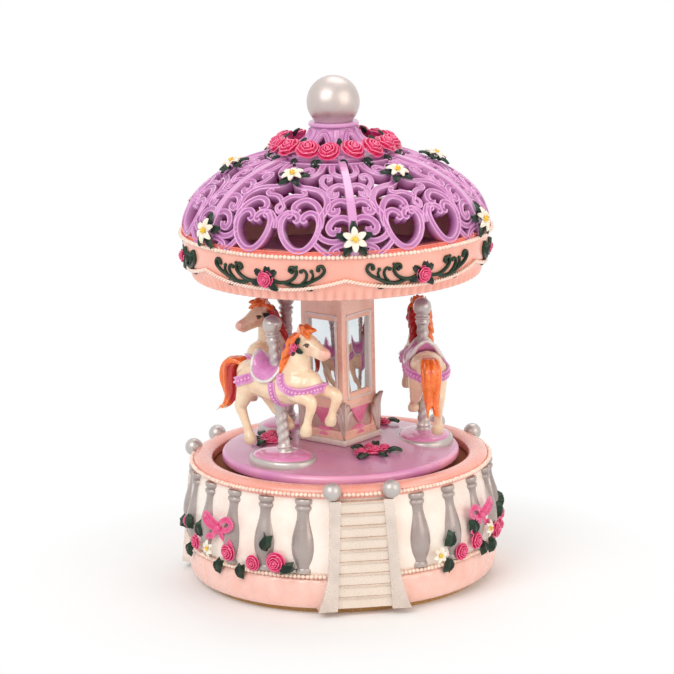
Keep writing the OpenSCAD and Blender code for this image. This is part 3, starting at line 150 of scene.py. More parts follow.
WELL_R, WELL_BLUR = 46.5, 0.3
cream_wall = paint("cream_wall_paint", (252, 243, 233), (249, 230, 218), patch=9, rough=0.24, lacquer=0.5)
wall_tree = cream_wall.node_tree
wall_place = wall_tree.nodes["Texture Coordinate"].outputs["Object"]
wall_flat = wired(wall_tree, "VectorMath", {0: wall_place, 1: (1, 1, 0)},
                  operation="MULTIPLY").outputs["Vector"]
wall_reach = wired(wall_tree, "VectorMath", {0: wall_flat}, operation="LENGTH").outputs["Value"]
# Painted shade: the drum's top in the well under the platform is painted dark brown and loses its coat and
# specular.
well_shade = spread(wall_tree, wall_reach, WELL_R * MM, (WELL_R - WELL_BLUR) * MM)
overpaint(cream_wall, well_shade, (150, 98, 76))
for sheen in ("Coat Weight", "Specular IOR Level"):
    tune(cream_wall, {sheen: spread(wall_tree, well_shade, 0, 1, 0.5, 0)})
dress("base_drum", cream_wall)


# Plinth skirt. A pink band of soft upright pleats round the drum's foot, moulded with it.
# Its pleats are shallow and die out towards both edges.


def deselect():
    if bpy.context.mode != "OBJECT":
        bpy.ops.object.mode_set(mode="OBJECT")
    bpy.ops.object.select_all(action="DESELECT")


def pick(part):
    deselect()
    part.select_set(True)
    bpy.context.view_layer.objects.active = part
    return part


class Editing:
    """Edit mode with all of the active mesh selected, then object mode again."""

    def __enter__(self):
        bpy.ops.object.mode_set(mode="EDIT")
        bpy.ops.mesh.select_all(action="SELECT")

    def __exit__(self, *_):
        bpy.ops.object.mode_set(mode="OBJECT")


def draw_line(name, points, closed=False):
    """A chain of edges extruded point by point."""
    deselect()
    bpy.ops.mesh.primitive_plane_add(size=1)
    part = bpy.context.object
    part.name = name
    with Editing():
        bpy.ops.mesh.select_mode(type="VERT")
        bpy.ops.mesh.merge(type="CENTER")
        bpy.ops.transform.translate(value=points[0])
        for here, there in zip(points, points[1:]):
            step = Vector(there) - Vector(here)
            bpy.ops.mesh.extrude_region_move(TRANSFORM_OT_translate={"value": step})
        if closed:
            bpy.ops.mesh.select_all(action="SELECT")
            bpy.ops.mesh.edge_face_add()
            bpy.ops.mesh.delete(type="ONLY_FACE")
    return part


def turn(name, outline, steps, closed=False):
    """Spins an outline of (radius, height) points round the upright axis."""
    part = draw_line(name, [(r, 0, z) for r, z in outline], closed)
    with Editing():
        bpy.ops.mesh.spin(steps=steps, angle=math.tau, center=(0, 0, 0), axis=(0, 0, 1))
        bpy.ops.mesh.select_all(action="SELECT")
        bpy.ops.mesh.remove_doubles(threshold=0.002)
        bpy.ops.mesh.normals_make_consistent(inside=False)
    bpy.ops.object.shade_smooth()
    return part


def modify(part, kind, **settings):
    """Adds a modifier and applies it."""
    pick(part)
    step = part.modifiers.new(kind.lower(), kind)
    for key, value in settings.items():
        setattr(step, key, value)
    bpy.ops.object.modifier_apply(modifier=step.name)
    return part


def reshape(part, rule):
    """Moves every corner of a mesh by a rule of its place."""
    for corner in part.data.vertices:
        corner.co = rule(corner.co)
    part.data.update()
    return part


def polar(point):
    return math.degrees(math.atan2(point.y, point.x)), math.hypot(point.x, point.y)


def pleated(count, depth, low, high):
    """A rule that folds a round wall into pleats between two heights, deepest half way."""
    def rule(point):
        angle, radius = polar(point)
        along = min(max((point.z - low) / (high - low), 0), 1)
        fade = math.sin(math.pi * along) ** 0.5
        fold = abs(math.sin(math.radians(angle * count / 2))) ** 1.4 - 0.7
        scale = (radius + depth * fold * fade) / radius if radius > 1 else 1
        return Vector((point.x * scale, point.y * scale, point.z))
    return rule


def settle():
    """Moves the active piece's place and size into its mesh."""
    bpy.ops.object.transform_apply(location=True, rotation=True, scale=True)


def finish(part, body, coats, slot, *replaced, smooth=None):
    """Brings a piece to metres, gives it its finish and fastens it to its body."""
    pick(part)
    settle()
    part.data.transform(Matrix.Scale(MM, 4))
    if smooth:
        bpy.ops.object.shade_smooth_by_angle(angle=math.radians(smooth))
    coats = coats if isinstance(coats, list) else [coats]
    zones = [min(face.material_index, len(coats) - 1) for face in part.data.polygons]
    part.data.materials.clear()
    for coat in coats:
        part.data.materials.append(coat)
    part.data.polygons.foreach_set("material_index", zones)
    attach(part, body)
    if replaced:
        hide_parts(*replaced)


PLINTH_R, PLINTH_LOW, PLINTH_TOP, PLINTH_PLEATS = 53.4, 2.1, 12.95, 60
plinth_outline = [(50.2, PLINTH_LOW), (51.0, PLINTH_LOW), (51.9, 2.4), (52.5, 3.1), (52.9, 4.0), (53.2, 5.2),
                  (PLINTH_R, 6.6), (PLINTH_R, 8), (PLINTH_R, 9.4), (53.35, 10.6), (53.2, 11.5), (52.9, 12.2),
                  (52.4, 12.7), (51.6, PLINTH_TOP), (50.2, PLINTH_TOP)]
plinth = turn("pleated_plinth", plinth_outline, PLINTH_PLEATS * 8, closed=True)
reshape(plinth, pleated(PLINTH_PLEATS, 0.5, 2.6, 12.6))
plinth_pink = paint("plinth_pink_paint", (250, 206, 194), (248, 194, 180), patch=9, rough=0.26,
                    hollow_shade=(232, 156, 140), edge=(253, 220, 208), lacquer=0.5)
finish(plinth, "base", plinth_pink, "plinth_pink", "plinth_skirt", smooth=50)

# Top rim. A rounded salmon band that closes the drum round the turntable.
# It is cast with the drum and painted by hand.
RIM_IN, RIM_OUT, RIM_LOW = 44.3, 50.9, 40.02
rim_outline = [(RIM_IN, RIM_LOW), (RIM_OUT, RIM_LOW)]
for k in range(15):
    a = math.pi * k / 14
    rim_outline.append((47.6 + 3.3 * math.cos(a) * (1 - 0.1 * math.sin(2 * a) ** 2),
                        41.9 + 1.9 * math.sin(a) ** 0.75))
rim = turn("rolled_rim", rim_outline, 160, closed=True)
# Its hollows take a dark brown painted shade.
rim_paint = paint("rim_salmon_paint", (248, 177, 162), (245, 166, 150), patch=10, rough=0.24,
                  hollow_shade=(120, 66, 56), lacquer=0.5)
finish(rim, "base", rim_paint, "pink_resin", "top_rim", smooth=40)

# Pearl strings. Small cast pearls side by side, one string under the rim and one on the plinth's edge.
# The lower string stops at the staircases.
PEARL_R = 0.78
UPPER_PEARLS = (51.67, 41.5)
LOWER_PEARLS = (PLINTH_R, 13.77)
STAIR_HALF_TURN, NEWEL_TURN = 13.6, 10.9


def spun(radians, axis="Z"):
    return Matrix.Rotation(radians, 4, axis)


def rotated(degrees, axis="Z"):
    return spun(math.radians(degrees), axis)


def shifted(x, y, z):
    return Matrix.Translation((x, y, z))


def sized(scale):
    return Matrix.Scale(scale, 4)


def spin_place(azimuth, radius, z, tip=0):
    """Where a piece lies on a round wall: x along it, y up it, z out of it."""
    return rotated(azimuth + 90) @ shifted(0, -radius, z) @ rotated(90 - tip, "X")


def twin_of(master, place):
    """A copy of a piece, with its own mesh, at a place."""
    twin = master.copy()
    twin.data = master.data.copy()
    bpy.context.collection.objects.link(twin)
    twin.matrix_world = place
    return twin


def join(name, parts):
    """One piece of several; the first one's place stays."""
    deselect()
    for part in parts:
        part.select_set(True)
    bpy.context.view_layer.objects.active = parts[0]
    bpy.ops.object.join()
    whole = bpy.context.object
    whole.name = name
    return whole


def copies(master, name, places):
    """One mesh made of a copy of the master at each place; the master goes."""
    made = [twin_of(master, place) for place in places]
    bpy.data.objects.remove(master)
    bpy.context.view_layer.update()
    group = join(name, made)
    settle()
    return group


def pearl():
    """A pearl with its lower side pressed flat where it sits."""
    deselect()
    bpy.ops.mesh.primitive_ico_sphere_add(subdivisions=2, radius=PEARL_R)
    part = bpy.context.object
    with Editing():
        bpy.ops.transform.resize(value=(1.0, 0.92, 1.0))
    bpy.ops.object.shade_smooth()
    return part


def pearl_string(name, radius, z, gap):
    """Pearls shoulder to shoulder round a circle, left out where gap says so."""
    count = int(2 * math.pi * radius / (PEARL_R * 1.86))
    spots = [360 * k / count for k in range(count)]
    drift = random.Random(count)
    return copies(pearl(), name, [
        spin_place(spot, radius, z + drift.uniform(-0.06, 0.06)) @ spun(drift.uniform(-0.5, 0.5))
        for spot in spots if not gap(spot)])


def from_stair(azimuth):
    """Degrees from the middle of the nearest staircase."""
    return abs((azimuth - STAIR_AZIMUTH + 60) % 120 - 60)


upper_string = pearl_string("rim_pearls", *UPPER_PEARLS, lambda a: abs(from_stair(a) - NEWEL_TURN) < 3.2)
lower_string = pearl_string("plinth_pearls", *LOWER_PEARLS, lambda a: from_stair(a) < STAIR_HALF_TURN)
pearl_paint = paint("pearl_paint", (252, 232, 214), (244, 205, 188), patch=1.6, rough=0.2,
                    hollow_shade=(222, 160, 144), lacquer=0.7)
finish(join("rim_pearls", [upper_string, lower_string]), "base", pearl_paint, "pearl_bead", "base_beads")

# Balusters. Turned half columns moulded on the wall, six in each bay, painted warm grey.
# Each has two rings under its head.
BALUSTER_R, BALUSTER_LOW, BALUSTER_HIGH, BALUSTER_STEP = 4.4, 14.62, 39.7, 15.2
BALUSTER_FOOT_ORBIT, BALUSTER_HEAD_ORBIT = 51.5, 49.5
baluster_height = BALUSTER_HIGH - BALUSTER_LOW
# (share of the height, share of the radius)
BALUSTER_OUTLINE = [(0.0, 0.0), (0.0, 0.64), (0.02, 0.68), (0.05, 0.68), (0.07, 0.6), (0.1, 0.64),
                    (0.15, 0.76), (0.2, 0.87), (0.26, 0.95), (0.32, 0.995), (0.38, 1.0), (0.44, 0.975),
                    (0.5, 0.92), (0.56, 0.845), (0.62, 0.755), (0.68, 0.67), (0.73, 0.61), (0.78, 0.575),
                    (0.82, 0.57), (0.845, 0.6), (0.86, 0.68), (0.88, 0.71), (0.9, 0.68), (0.912, 0.6),
                    (0.925, 0.6), (0.94, 0.69), (0.965, 0.72), (0.99, 0.7), (1.0, 0.66), (1.0, 0.0)]
baluster = turn("baluster", [(share * BALUSTER_R, up * baluster_height) for up, share in BALUSTER_OUTLINE],
                36)
with Editing():
    bpy.ops.mesh.bisect(plane_co=(-1.6, 0, 0), plane_no=(1, 0, 0), use_fill=True, clear_inner=True)
lean = spun(-math.atan((BALUSTER_FOOT_ORBIT - BALUSTER_HEAD_ORBIT) / baluster_height), "Y")
baluster_turns = [STAIR_AZIMUTH + 120 * bay + 60 + BALUSTER_STEP * (k - 2.5) for bay in range(3)
                  for k in range(6)]
row = copies(baluster, "turned_balusters", [
    rotated(a) @ shifted(BALUSTER_FOOT_ORBIT, 0, BALUSTER_LOW) @ lean
    for a in baluster_turns])
grey_paint = paint("baluster_grey_paint", (172, 160, 156), (156, 142, 138), patch=9, rough=0.28,
                   hollow_shade=(112, 96, 92), edge=(204, 194, 188), lacquer=0.4, metal=0.2)
finish(row, "base", grey_paint, "grey_resin", "balusters", smooth=35)

# Staircases. Three flights of nine shallow steps between two stringers, moulded on the drum.
# Steps flare a little towards the ground; newel balls top the stringers.
STEP_COUNT, STAIR_LOW, STAIR_TOP = 9, 3.1, 39.4
STAIR_W, STAIR_FLARE, STRINGER_W = 14.4, 4.0, 3.4
STAIR_FRONT_LOW, STAIR_FRONT_TOP = 54.5, 52.6
STAIR_BACK = 50.0


def box(name, low, high):
    """A block between two corners."""
    deselect()
    middle = (Vector(low) + Vector(high)) / 2
    bpy.ops.mesh.primitive_cube_add(size=1, location=middle)
    part = bpy.context.object
    part.name = name
    part.scale = Vector(high) - Vector(low)
    settle()
    return part


def bevel(part, width, segments, **more):
    """Rounds a piece's sharp edges."""
    return modify(part, "BEVEL", width=width, segments=segments, limit_method="ANGLE", **more)


def stair_bulge(up):
    """How far the flight swells over the wall's belly."""
    return 0.9 * math.sin(math.pi * up ** 0.8)


step_rise = (STAIR_TOP - STAIR_LOW) / STEP_COUNT
flight = []
for k in range(STEP_COUNT):
    share = k / STEP_COUNT
    front = STAIR_FRONT_LOW + (STAIR_FRONT_TOP - STAIR_FRONT_LOW) * share + stair_bulge(share) - 0.7
    half = (STAIR_W + STAIR_FLARE * (1 - share)) / 2
    low = STAIR_LOW + step_rise * k
    riser = box("riser", (STAIR_BACK, -half, low), (front, half, low + step_rise - 0.9))
    tread = box("tread", (STAIR_BACK, -half, low + step_rise - 0.95),
                (front + 0.45, half, low + step_rise - 0.05))
    bevel(tread, 0.28, 3)
    flight += [riser, tread]
risers = join("steps", flight)
bevel(risers, 0.07, 1)
STRINGER_LOW = 2.3
stringers = []
for side in (-1, 1):
    rail = box("stringer", (STAIR_BACK, -STRINGER_W / 2, 0), (STAIR_FRONT_TOP + 0.15, STRINGER_W / 2, 1))
    with Editing():
        bpy.ops.mesh.subdivide(number_cuts=15)

    def run(point, side=side):
        up = point.z
        inner = (STAIR_W + STAIR_FLARE * (1 - up)) / 2
        wide = STRINGER_W + 3.1 * max(0, 1 - up / 0.42) ** 1.8
        out = (STAIR_FRONT_LOW - STAIR_FRONT_TOP) * (1 - up)
        out = out * (point.x - STAIR_BACK) / (STAIR_FRONT_TOP - STAIR_BACK)
        across = side * (inner + wide * (0.5 + side * point.y / STRINGER_W))
        out += stair_bulge(up) * (point.x > STAIR_BACK + 1)
        return Vector((point.x + out, across, STRINGER_LOW + (STAIR_TOP + 0.3 - STRINGER_LOW) * up))
    reshape(rail, run)
    bevel(rail, 0.55, 3)
    stringers.append(rail)
flight = join("flight", [risers] + stringers)
zone_marks = [bpy.data.materials.new("zone_%d" % k) for k in range(2)]


def edge_zone(part, test):
    """Gives the faces that pass the test the second finish."""
    part.data.materials.clear()
    for mark in zone_marks:
        part.data.materials.append(mark)
    for face in part.data.polygons:
        face.material_index = 1 if test(face.center) else 0


def on_stringer(centre):
    up = (centre.z - STRINGER_LOW) / (STAIR_TOP + 0.3 - STRINGER_LOW)
    return abs(centre.y) > (STAIR_W + STAIR_FLARE * (1 - up)) / 2 - 0.05


edge_zone(flight, on_stringer)
flights = copies(flight, "moulded_staircases",
                 [rotated(STAIR_AZIMUTH + 120 * k) for k in range(3)])
stair_paint = paint("stair_champagne_paint", (216, 196, 180), (202, 182, 166), patch=8, rough=0.27,
                    hollow_shade=(150, 126, 110), edge=(240, 226, 212), lacquer=0.4, metal=0.3)
stringer_paint = paint("stringer_silver_paint", (228, 214, 203), (209, 196, 187), patch=9, rough=0.27,
                       hollow_shade=(146, 132, 124), edge=(250, 240, 232), lacquer=0.4, metal=0.3)
finish(flights, "base", [stair_paint, stringer_paint], "champagne", "staircases", smooth=35)

# Newel balls. Plain balls at the heads of the stringers, two to a staircase, painted silver.
# Each sits in a hollow of the rim and keeps the shape it has in the CAD.
silver_paint = paint("silver_ball_paint", (196, 190, 187), (188, 182, 179), patch=6, rough=0.34, grain=0.005,
                     lacquer=0.35, metal=0.4)
dress("newel_balls", silver_paint)

# Garland roses. Resin roses of overlapping petals round a rolled bud, painted deep pink.
# One rose is modelled at a radius of one and set at each place in its own size.
LEFT_ROSES = [(28.5, 18.4, 1), (19, 17, 0.78), (8, 19, 0.9), (-13, 18, 0.8), (-26, 22, 0.62)]
RIGHT_ROSES = [(-20.6, 17, 0.86), (-11.8, 18.8, 0.86), (6, 18, 0.9), (16.5, 17, 0.78), (27, 18.4, 1)]
GARLAND_LIFT, ROSE_R = 1.7, 3.3
BAYS = [(-60, 0), (180, 0), (60, 1)]


def grid(columns, rows):
    """A flat grid, one across, to be bent into a petal or a leaf."""
    deselect()
    bpy.ops.mesh.primitive_grid_add(x_subdivisions=columns, y_subdivisions=rows, size=1)
    return bpy.context.object


def petal(reach, width, height, curl):
    """One petal: a small grid cupped upwards with a rolled lip, given thickness."""
    part = grid(6, 4)

    def cup(point):
        across, along = point.x * 2, point.y + 0.5
        narrow = (1 - 0.55 * (1 - along) ** 2) * (1 - 0.25 * max(along - 0.75, 0) * 4 * across * across)
        turn_by = across * width * narrow
        out = reach * (0.35 + 0.65 * math.sin(along * math.pi / 2)) + curl * max(along - 0.6, 0)
        up = height * along ** 1.2 - 0.25 * curl * max(along - 0.7, 0) * 2 - 0.08 * across * across
        return Vector((out * math.cos(turn_by), out * math.sin(turn_by), up))
    reshape(part, cup)
    modify(part, "SOLIDIFY", thickness=0.09, offset=0)
    return part


def rose():
    """A rose of radius one: two outer rows of petals, an inner row and a spiral bud."""
    rows = [(5, 0.92, 0.78, 0.34, 0.34, 0.0), (5, 0.74, 0.74, 0.6, 0.22, 0.62), (4, 0.5, 0.9, 0.76, 0.1, 0.2),
            (3, 0.3, 1.2, 0.86, 0.02, 0.9)]
    parts = []
    for count, reach, width, height, curl, start in rows:
        for k in range(count):
            leaf_turn = start + 2 * math.pi * k / count
            one = petal(reach, width, height, curl)
            one.matrix_world = spun(leaf_turn) @ spun(0.05 * (k % 2), "X")
            parts.append(one)
    heart = turn("bud", [(0, 0), (0.62, 0), (0.66, 0.2), (0.42, 0.4), (0.2, 0.66), (0.14, 0.86), (0.0, 0.9)],
                 12)
    whole = join("rose", [heart] + parts)
    settle()
    bpy.ops.object.shade_smooth()
    return whole


def garland_places(left, right, height_of):
    """Where each item of the bays' lists lies on the wall, with its size."""
    found = []
    for turned_by, side in BAYS:
        for item in (left, right)[side]:
            azimuth = STAIR_AZIMUTH + turned_by + item[0]
            found.append((spin_place(azimuth, wall_r(item[1]) + height_of, item[1]), item))
    return found


spin_random = random.Random(5)
rose_places = [place @ spun(spin_random.uniform(0, 6.28)) @ sized(ROSE_R * item[2])
               for place, item in garland_places(LEFT_ROSES, RIGHT_ROSES, GARLAND_LIFT - 0.6)]
garland_roses = copies(rose(), "petalled_roses", rose_places)
rose_paint = paint("rose_pink_paint", (236, 46, 122), (216, 24, 92), patch=1.6, rough=0.3,
                   hollow_shade=(136, 8, 48), edge=(250, 126, 172), lacquer=0.5)
finish(garland_roses, "base", rose_paint, "rose_pink", "garland_roses", smooth=60)

# Lilies. Six pointed petals that bend outwards round a yellow throat with stamens, painted white.
# Like the roses, one is modelled at a radius of one.
LEFT_LILIES = [(-2.4, 18.4, 3)]
RIGHT_LILIES = [(-31.6, 18, 3), (-3, 21, 3)]


def globe(radius, place=(0, 0, 0), segments=8, rings=6):
    deselect()
    bpy.ops.mesh.primitive_uv_sphere_add(segments=segments, ring_count=rings, radius=radius, location=place)
    bpy.ops.object.shade_smooth()
    return bpy.context.object


def lily():
    """A lily of radius one; its throat is the second zone."""
    parts = []
    for k in range(6):
        blade = grid(6, 4)

        def bend(point, high=k % 2):
            along, across = point.x + 0.5, point.y * 2
            half = 0.235 * math.sin(math.pi * min(along * 0.92 + 0.06, 1)) ** 0.8
            up = 0.16 + 0.3 * math.sin(math.pi * along * 0.8) - 0.12 * along
            up = up + 0.07 * abs(across) + 0.05 * high
            return Vector((0.06 + 0.94 * along, across * half, up))
        reshape(blade, bend)
        modify(blade, "SOLIDIFY", thickness=0.12, offset=-1)
        blade.matrix_world = spun(math.pi / 3 * k)
        parts.append(blade)
    throat = [globe(0.2, (0, 0, 0.42), 10, 6)]
    throat += [globe(0.075, (0.19 * math.cos(1.26 * k), 0.19 * math.sin(1.26 * k), 0.58), 6, 4)
               for k in range(5)]
    petals, eye = join("petals", parts), join("throat", throat)
    edge_zone(petals, lambda centre: False)
    edge_zone(eye, lambda centre: True)
    whole = join("lily", [petals, eye])
    settle()
    bpy.ops.object.shade_smooth()
    return whole


lily_places = [place @ spun(spin_random.uniform(0, 1)) @ sized(item[2])
               for place, item in garland_places(LEFT_LILIES, RIGHT_LILIES, GARLAND_LIFT)]
lily_white = paint("lily_white_paint", (250, 247, 236), (238, 230, 205), patch=1.2, rough=0.3,
                   hollow_shade=(196, 178, 120), lacquer=0.4)
lily_yellow = paint("lily_yellow_paint", (246, 214, 60), (232, 178, 40), patch=0.8, rough=0.35, lacquer=0.3)
finish(copies(lily(), "petalled_lilies", lily_places), "base", [lily_white, lily_yellow], "lily_white",
       "garland_lilies", smooth=60)

# Garland leaves. Pointed leaves with a sunk midrib and notched edges, painted a green that is nearly black.
# They stand on plain backs, as cast.
LEFT_LEAVES = [(35, 17.4, 200, 4.2), (24, 22.4, 75, 4.4), (13.6, 15.4, 265, 3.6), (3, 15.2, 250, 3.6),
               (-7.6, 21.6, 120, 4), (-19, 21.6, 100, 3.6), (-20, 15.4, 250, 3.4), (-31.5, 19.2, 160, 3.6)]
RIGHT_LEAVES = [(-26.4, 15.4, 250, 3.6), (-27, 20.4, 70, 4), (-13, 22, 100, 4), (-7, 17, 280, 3.4),
                (1.6, 16, 260, 3.6), (11.5, 21.4, 80, 4), (21.6, 22, 75, 4.2), (33.6, 17.4, 340, 4)]


def leaf(thick):
    """A leaf of length one along x, its base at the origin."""
    part = grid(11, 7)

    def shape(point):
        along, across = point.x + 0.5, point.y * 2
        half = 0.33 * math.sin(math.pi * (0.04 + 0.93 * along) ** 0.82) ** 0.85
        notch = 1 - 0.13 * abs(math.sin(along * math.pi * 5)) * abs(across) ** 3
        rib = 0.07 * abs(across) ** 0.7 + 0.02 * math.cos(along * math.pi * 10) * abs(across)
        return Vector((along, across * half * notch, rib + 0.14 * math.sin(math.pi * along) - 0.1 * along))
    reshape(part, shape)
    modify(part, "SOLIDIFY", thickness=thick, offset=-1)
    bpy.ops.object.shade_smooth()
    return part


leaf_places = [place @ rotated(item[2]) @ spun(-0.12, "Y")
               @ sized(item[3] * 1.12)
               for place, item in garland_places(LEFT_LEAVES, RIGHT_LEAVES, GARLAND_LIFT + 0.75)]
leaf_green = paint("leaf_green_paint", (18, 38, 29), (11, 23, 19), patch=1.4, rough=0.4,
                   hollow_shade=(6, 10, 8), edge=(46, 74, 54), lacquer=0.1)
tune(leaf_green, {"Specular IOR Level": 0.25})
finish(copies(leaf(thick=0.5), "notched_leaves", leaf_places), "base", leaf_green, "leaf_green",
       "garland_leaves", smooth=60)

# Bows. Ribbon bows of two loops and two tails round a knot, painted magenta pink.
# The ribbon is a flat strip swept along its loops.
LEFT_BOWS, RIGHT_BOWS = [(2.9, 26.5)], [(-8, 27)]


def glide(points, per_span=8, loop=False):
    """A smooth line through a few points (Catmull-Rom)."""
    count = len(points)
    found = []
    for k in range(count if loop else count - 1):
        near = [Vector(points[(k + j) % count if loop else min(max(k + j, 0), count - 1)])
                for j in (-1, 0, 1, 2)]
        for step in range(per_span):
            t = step / per_span
            found.append(0.5 * ((2 * near[1]) + (near[2] - near[0]) * t
                                + (2 * near[0] - 5 * near[1] + 4 * near[2] - near[3]) * t * t
                                + (3 * near[1] - near[0] - 3 * near[2] + near[3]) * t * t * t))
    if not loop:
        found.append(Vector(points[-1]))
    return found


def mesh_piece(name, corners, faces):
    mesh = bpy.data.meshes.new(name)
    mesh.from_pydata([tuple(c) for c in corners], [], faces)
    part = bpy.data.objects.new(name, mesh)
    bpy.context.collection.objects.link(part)
    return pick(part)


def face_out():
    """Turns the active piece's faces outwards and shades it smooth."""
    with Editing():
        bpy.ops.mesh.normals_make_consistent(inside=False)
    bpy.ops.object.shade_smooth()


def strip(name, line, section, up_of, loop=False, size_of=lambda share: (1.0, 1.0)):
    """Sweeps a closed section, (across, out) points, along a line; up_of gives the outward direction."""
    corners, faces = [], []
    count, around = len(line), len(section)
    for k, here in enumerate(line):
        after = line[(k + 1) % count if loop else min(k + 1, count - 1)]
        before = line[(k - 1) % count if loop else max(k - 1, 0)]
        ahead = (after - before).normalized()
        out = up_of(here)
        out = (out - ahead * out.dot(ahead)).normalized()
        side = ahead.cross(out)
        wide, tall = size_of(k / (count - 1))
        corners += [here + side * across * wide + out * height * tall for across, height in section]
    for k in range(count if loop else count - 1):
        j = (k + 1) % count
        for m in range(around):
            n = (m + 1) % around
            faces.append((k * around + m, k * around + n, j * around + n, j * around + m))
    if not loop:
        faces += [tuple(range(around))[::-1], tuple((count - 1) * around + m for m in range(around))]
    part = mesh_piece(name, corners, faces)
    face_out()
    return part


RIBBON = [(-0.75, -0.16), (0.75, -0.16), (0.82, 0), (0.75, 0.16), (0.3, 0.1), (-0.3, 0.1), (-0.75, 0.16),
          (-0.82, 0)]
RIBBON_WIDEN = 1.15


def bow():
    section = [(across * RIBBON_WIDEN, up) for across, up in RIBBON]
    parts = [globe(1.15, (0, 0, 1.0), 14, 8)]
    bpy.ops.transform.resize(value=(1, 0.85, 0.8))
    settle()
    for side in (-1, 1):
        loop = glide([(0, 0.2, 0.5), (side * 2.2, 2.3, 1.5), (side * 5.2, 3.7, 1.3), (side * 6.6, 1.9, 0.9),
                      (side * 4.6, 0.2, 1.0), (side * 2, -0.3, 0.9), (0, 0, 0.5)], 6)
        parts.append(strip("loop", loop, section, lambda p: Vector((0, 0.25, 1))))
        tail = glide([(0, 0, 0.5), (side * 1.7, -1.9, 1.1), (side * 3.1, -3.2, 0.7), (side * 4.9, -3.5, 0.9),
                      (side * 5.8, -4.8, 0.6)], 6)
        parts.append(strip("tail", tail, section, lambda p: Vector((0, 0.1, 1))))
    return join("bow", parts)


bow_places = [place @ sized(1.1) for place, _ in garland_places(LEFT_BOWS, RIGHT_BOWS, 1.2)]
bow_pink = paint("bow_pink_paint", (228, 62, 132), (214, 44, 112), patch=1.6, rough=0.28,
                 hollow_shade=(160, 20, 76), edge=(246, 130, 176), lacquer=0.5)
finish(copies(bow(), "ribbon_bows", bow_places), "base", bow_pink, "bow_pink", "garland_bows", smooth=60)

# Underside. A felt ring glued round the foot, and a lacquered board held by three screws.
# The ring is what the box stands on.


def banded(tree, share, low, dark, high, light):
    """A colour that runs from dark to light between two levels."""
    ramp = wired(tree, "ValToRGB", {"Fac": share})
    for stop, level, colour in zip(ramp.color_ramp.elements, (low, high), (dark, light)):
        stop.position = level
        stop.color = tint(*colour)
    return ramp.outputs["Color"]


def metal(name, colour, dark, rough, brushed):
    """Bare metal with fine brushing along one way and a little tarnish."""
    finish, tree, shader, place = blank_finish(name)
    drawn = wired(tree, "Mapping", {"Vector": place, "Scale": brushed}).outputs["Vector"]
    brushing = cloud(tree, drawn, 900, 5)
    worn = spread(tree, brushing, 0, 1, rough - 0.08, rough + 0.14)
    feed(tree, shader, {"Metallic": 1.0, "Roughness": worn, "Normal": dented(tree, brushing, 0.35, 0.02),
                        "Base Color": banded(tree, cloud(tree, place, 160), 0.36, dark, 0.6, colour)})
    return finish


felt, felt_tree, _, felt_place = blank_finish("tan_felt_wool")
fibres = cloud(felt_tree, felt_place, 2600, 6)
tune(felt, {"Roughness": 0.95, "Sheen Weight": 0.4, "Normal": dented(felt_tree, fibres, 1, 0.2),
            "Base Color": banded(felt_tree, fibres, 0.35, (176, 128, 74), 0.65, (214, 168, 112))})
dress("felt_ring", felt)
dress("movement_board", paint("board_lacquer", (52, 46, 44), (36, 32, 32), patch=8, rough=0.45, grain=0.08))
zinc = metal("zinc_plate", (196, 200, 202), (150, 156, 160), 0.34, (1, 1, 1))
dress("board_screws", zinc)
dress("movement_screws", zinc)

# Movement. A stamped zinc bedplate carries the comb, the pinned cylinder, the governor train and the spring.
# It hangs under the drum's deck and turns the platform through the bush.
brass = metal("turned_brass", (214, 176, 96), (170, 126, 62), 0.26, (1, 0.1, 1))
steel = metal("ground_steel", (188, 190, 194), (140, 142, 148), 0.28, (0.1, 1, 1))
bed_zinc = metal("cast_bed_zinc", (188, 178, 150), (150, 138, 112), 0.42, (1, 1, 1))
blued = metal("blued_spring", (116, 124, 142), (74, 80, 96), 0.3, (1, 1, 0.1))
for coat, parts in ((brass, ("deck_bush", "music_cylinder", "governor_wheel", "great_wheel", "spring_barrel",
                             "winding_key")),
                    (steel, ("comb", "governor_fly", "output_shaft", "winding_arbor")),
                    (bed_zinc, ("movement_bedplate", "governor_frame")), (blued, ("mainspring",))):
    for name in parts:
        dress(name, coat)

# Turntable. The platform that turns: a cast disc, crowned from its rim up to the column, mauve and glossy.
# Its rounded edge is painted a lighter pink as a painted highlight.
TABLE_R, TABLE_LOW, TABLE_TOP, COLUMN_SEAT_R, TABLE_DOME = 41.1, 41.3, 47.9, 16.5, 3.3


def table_z(radius):
    share = max(0, radius - COLUMN_SEAT_R) / (TABLE_R - COLUMN_SEAT_R)
    return TABLE_TOP - TABLE_DOME * share ** 1.5


table_outline = [(0, TABLE_LOW), (TABLE_R - 1.2, TABLE_LOW), (TABLE_R - 0.5, TABLE_LOW + 0.25),
                 (TABLE_R - 0.1, 42.0), (TABLE_R, 42.6), (TABLE_R, 43.2), (TABLE_R - 0.08, 43.8),
                 (TABLE_R - 0.3, 44.25), (TABLE_R - 0.7, 44.6)]
table_outline += [(r, table_z(r)) for r in [40 - 1.5 * k for k in range(17)]] + [(0, TABLE_TOP)]
table = turn("crowned_platform", table_outline, 144)
edge_zone(table, lambda centre: math.hypot(centre.x, centre.y) > TABLE_R - 1.1)
table_mauve = paint("platform_mauve_paint", (206, 146, 184), (202, 138, 166), patch=26, rough=0.32,
                    grain=0.02, lacquer=0.4)
# Painted highlight: the rounded outer edge is painted a lighter pink.
table_edge_highlight = paint("platform_edge_highlight_paint", (240, 170, 204), (214, 140, 196), patch=18, rough=0.28, grain=0.02,
                   lacquer=0.5)
finish(table, "carousel", [table_mauve, table_edge_highlight], "mauve_resin", "turntable", smooth=40)

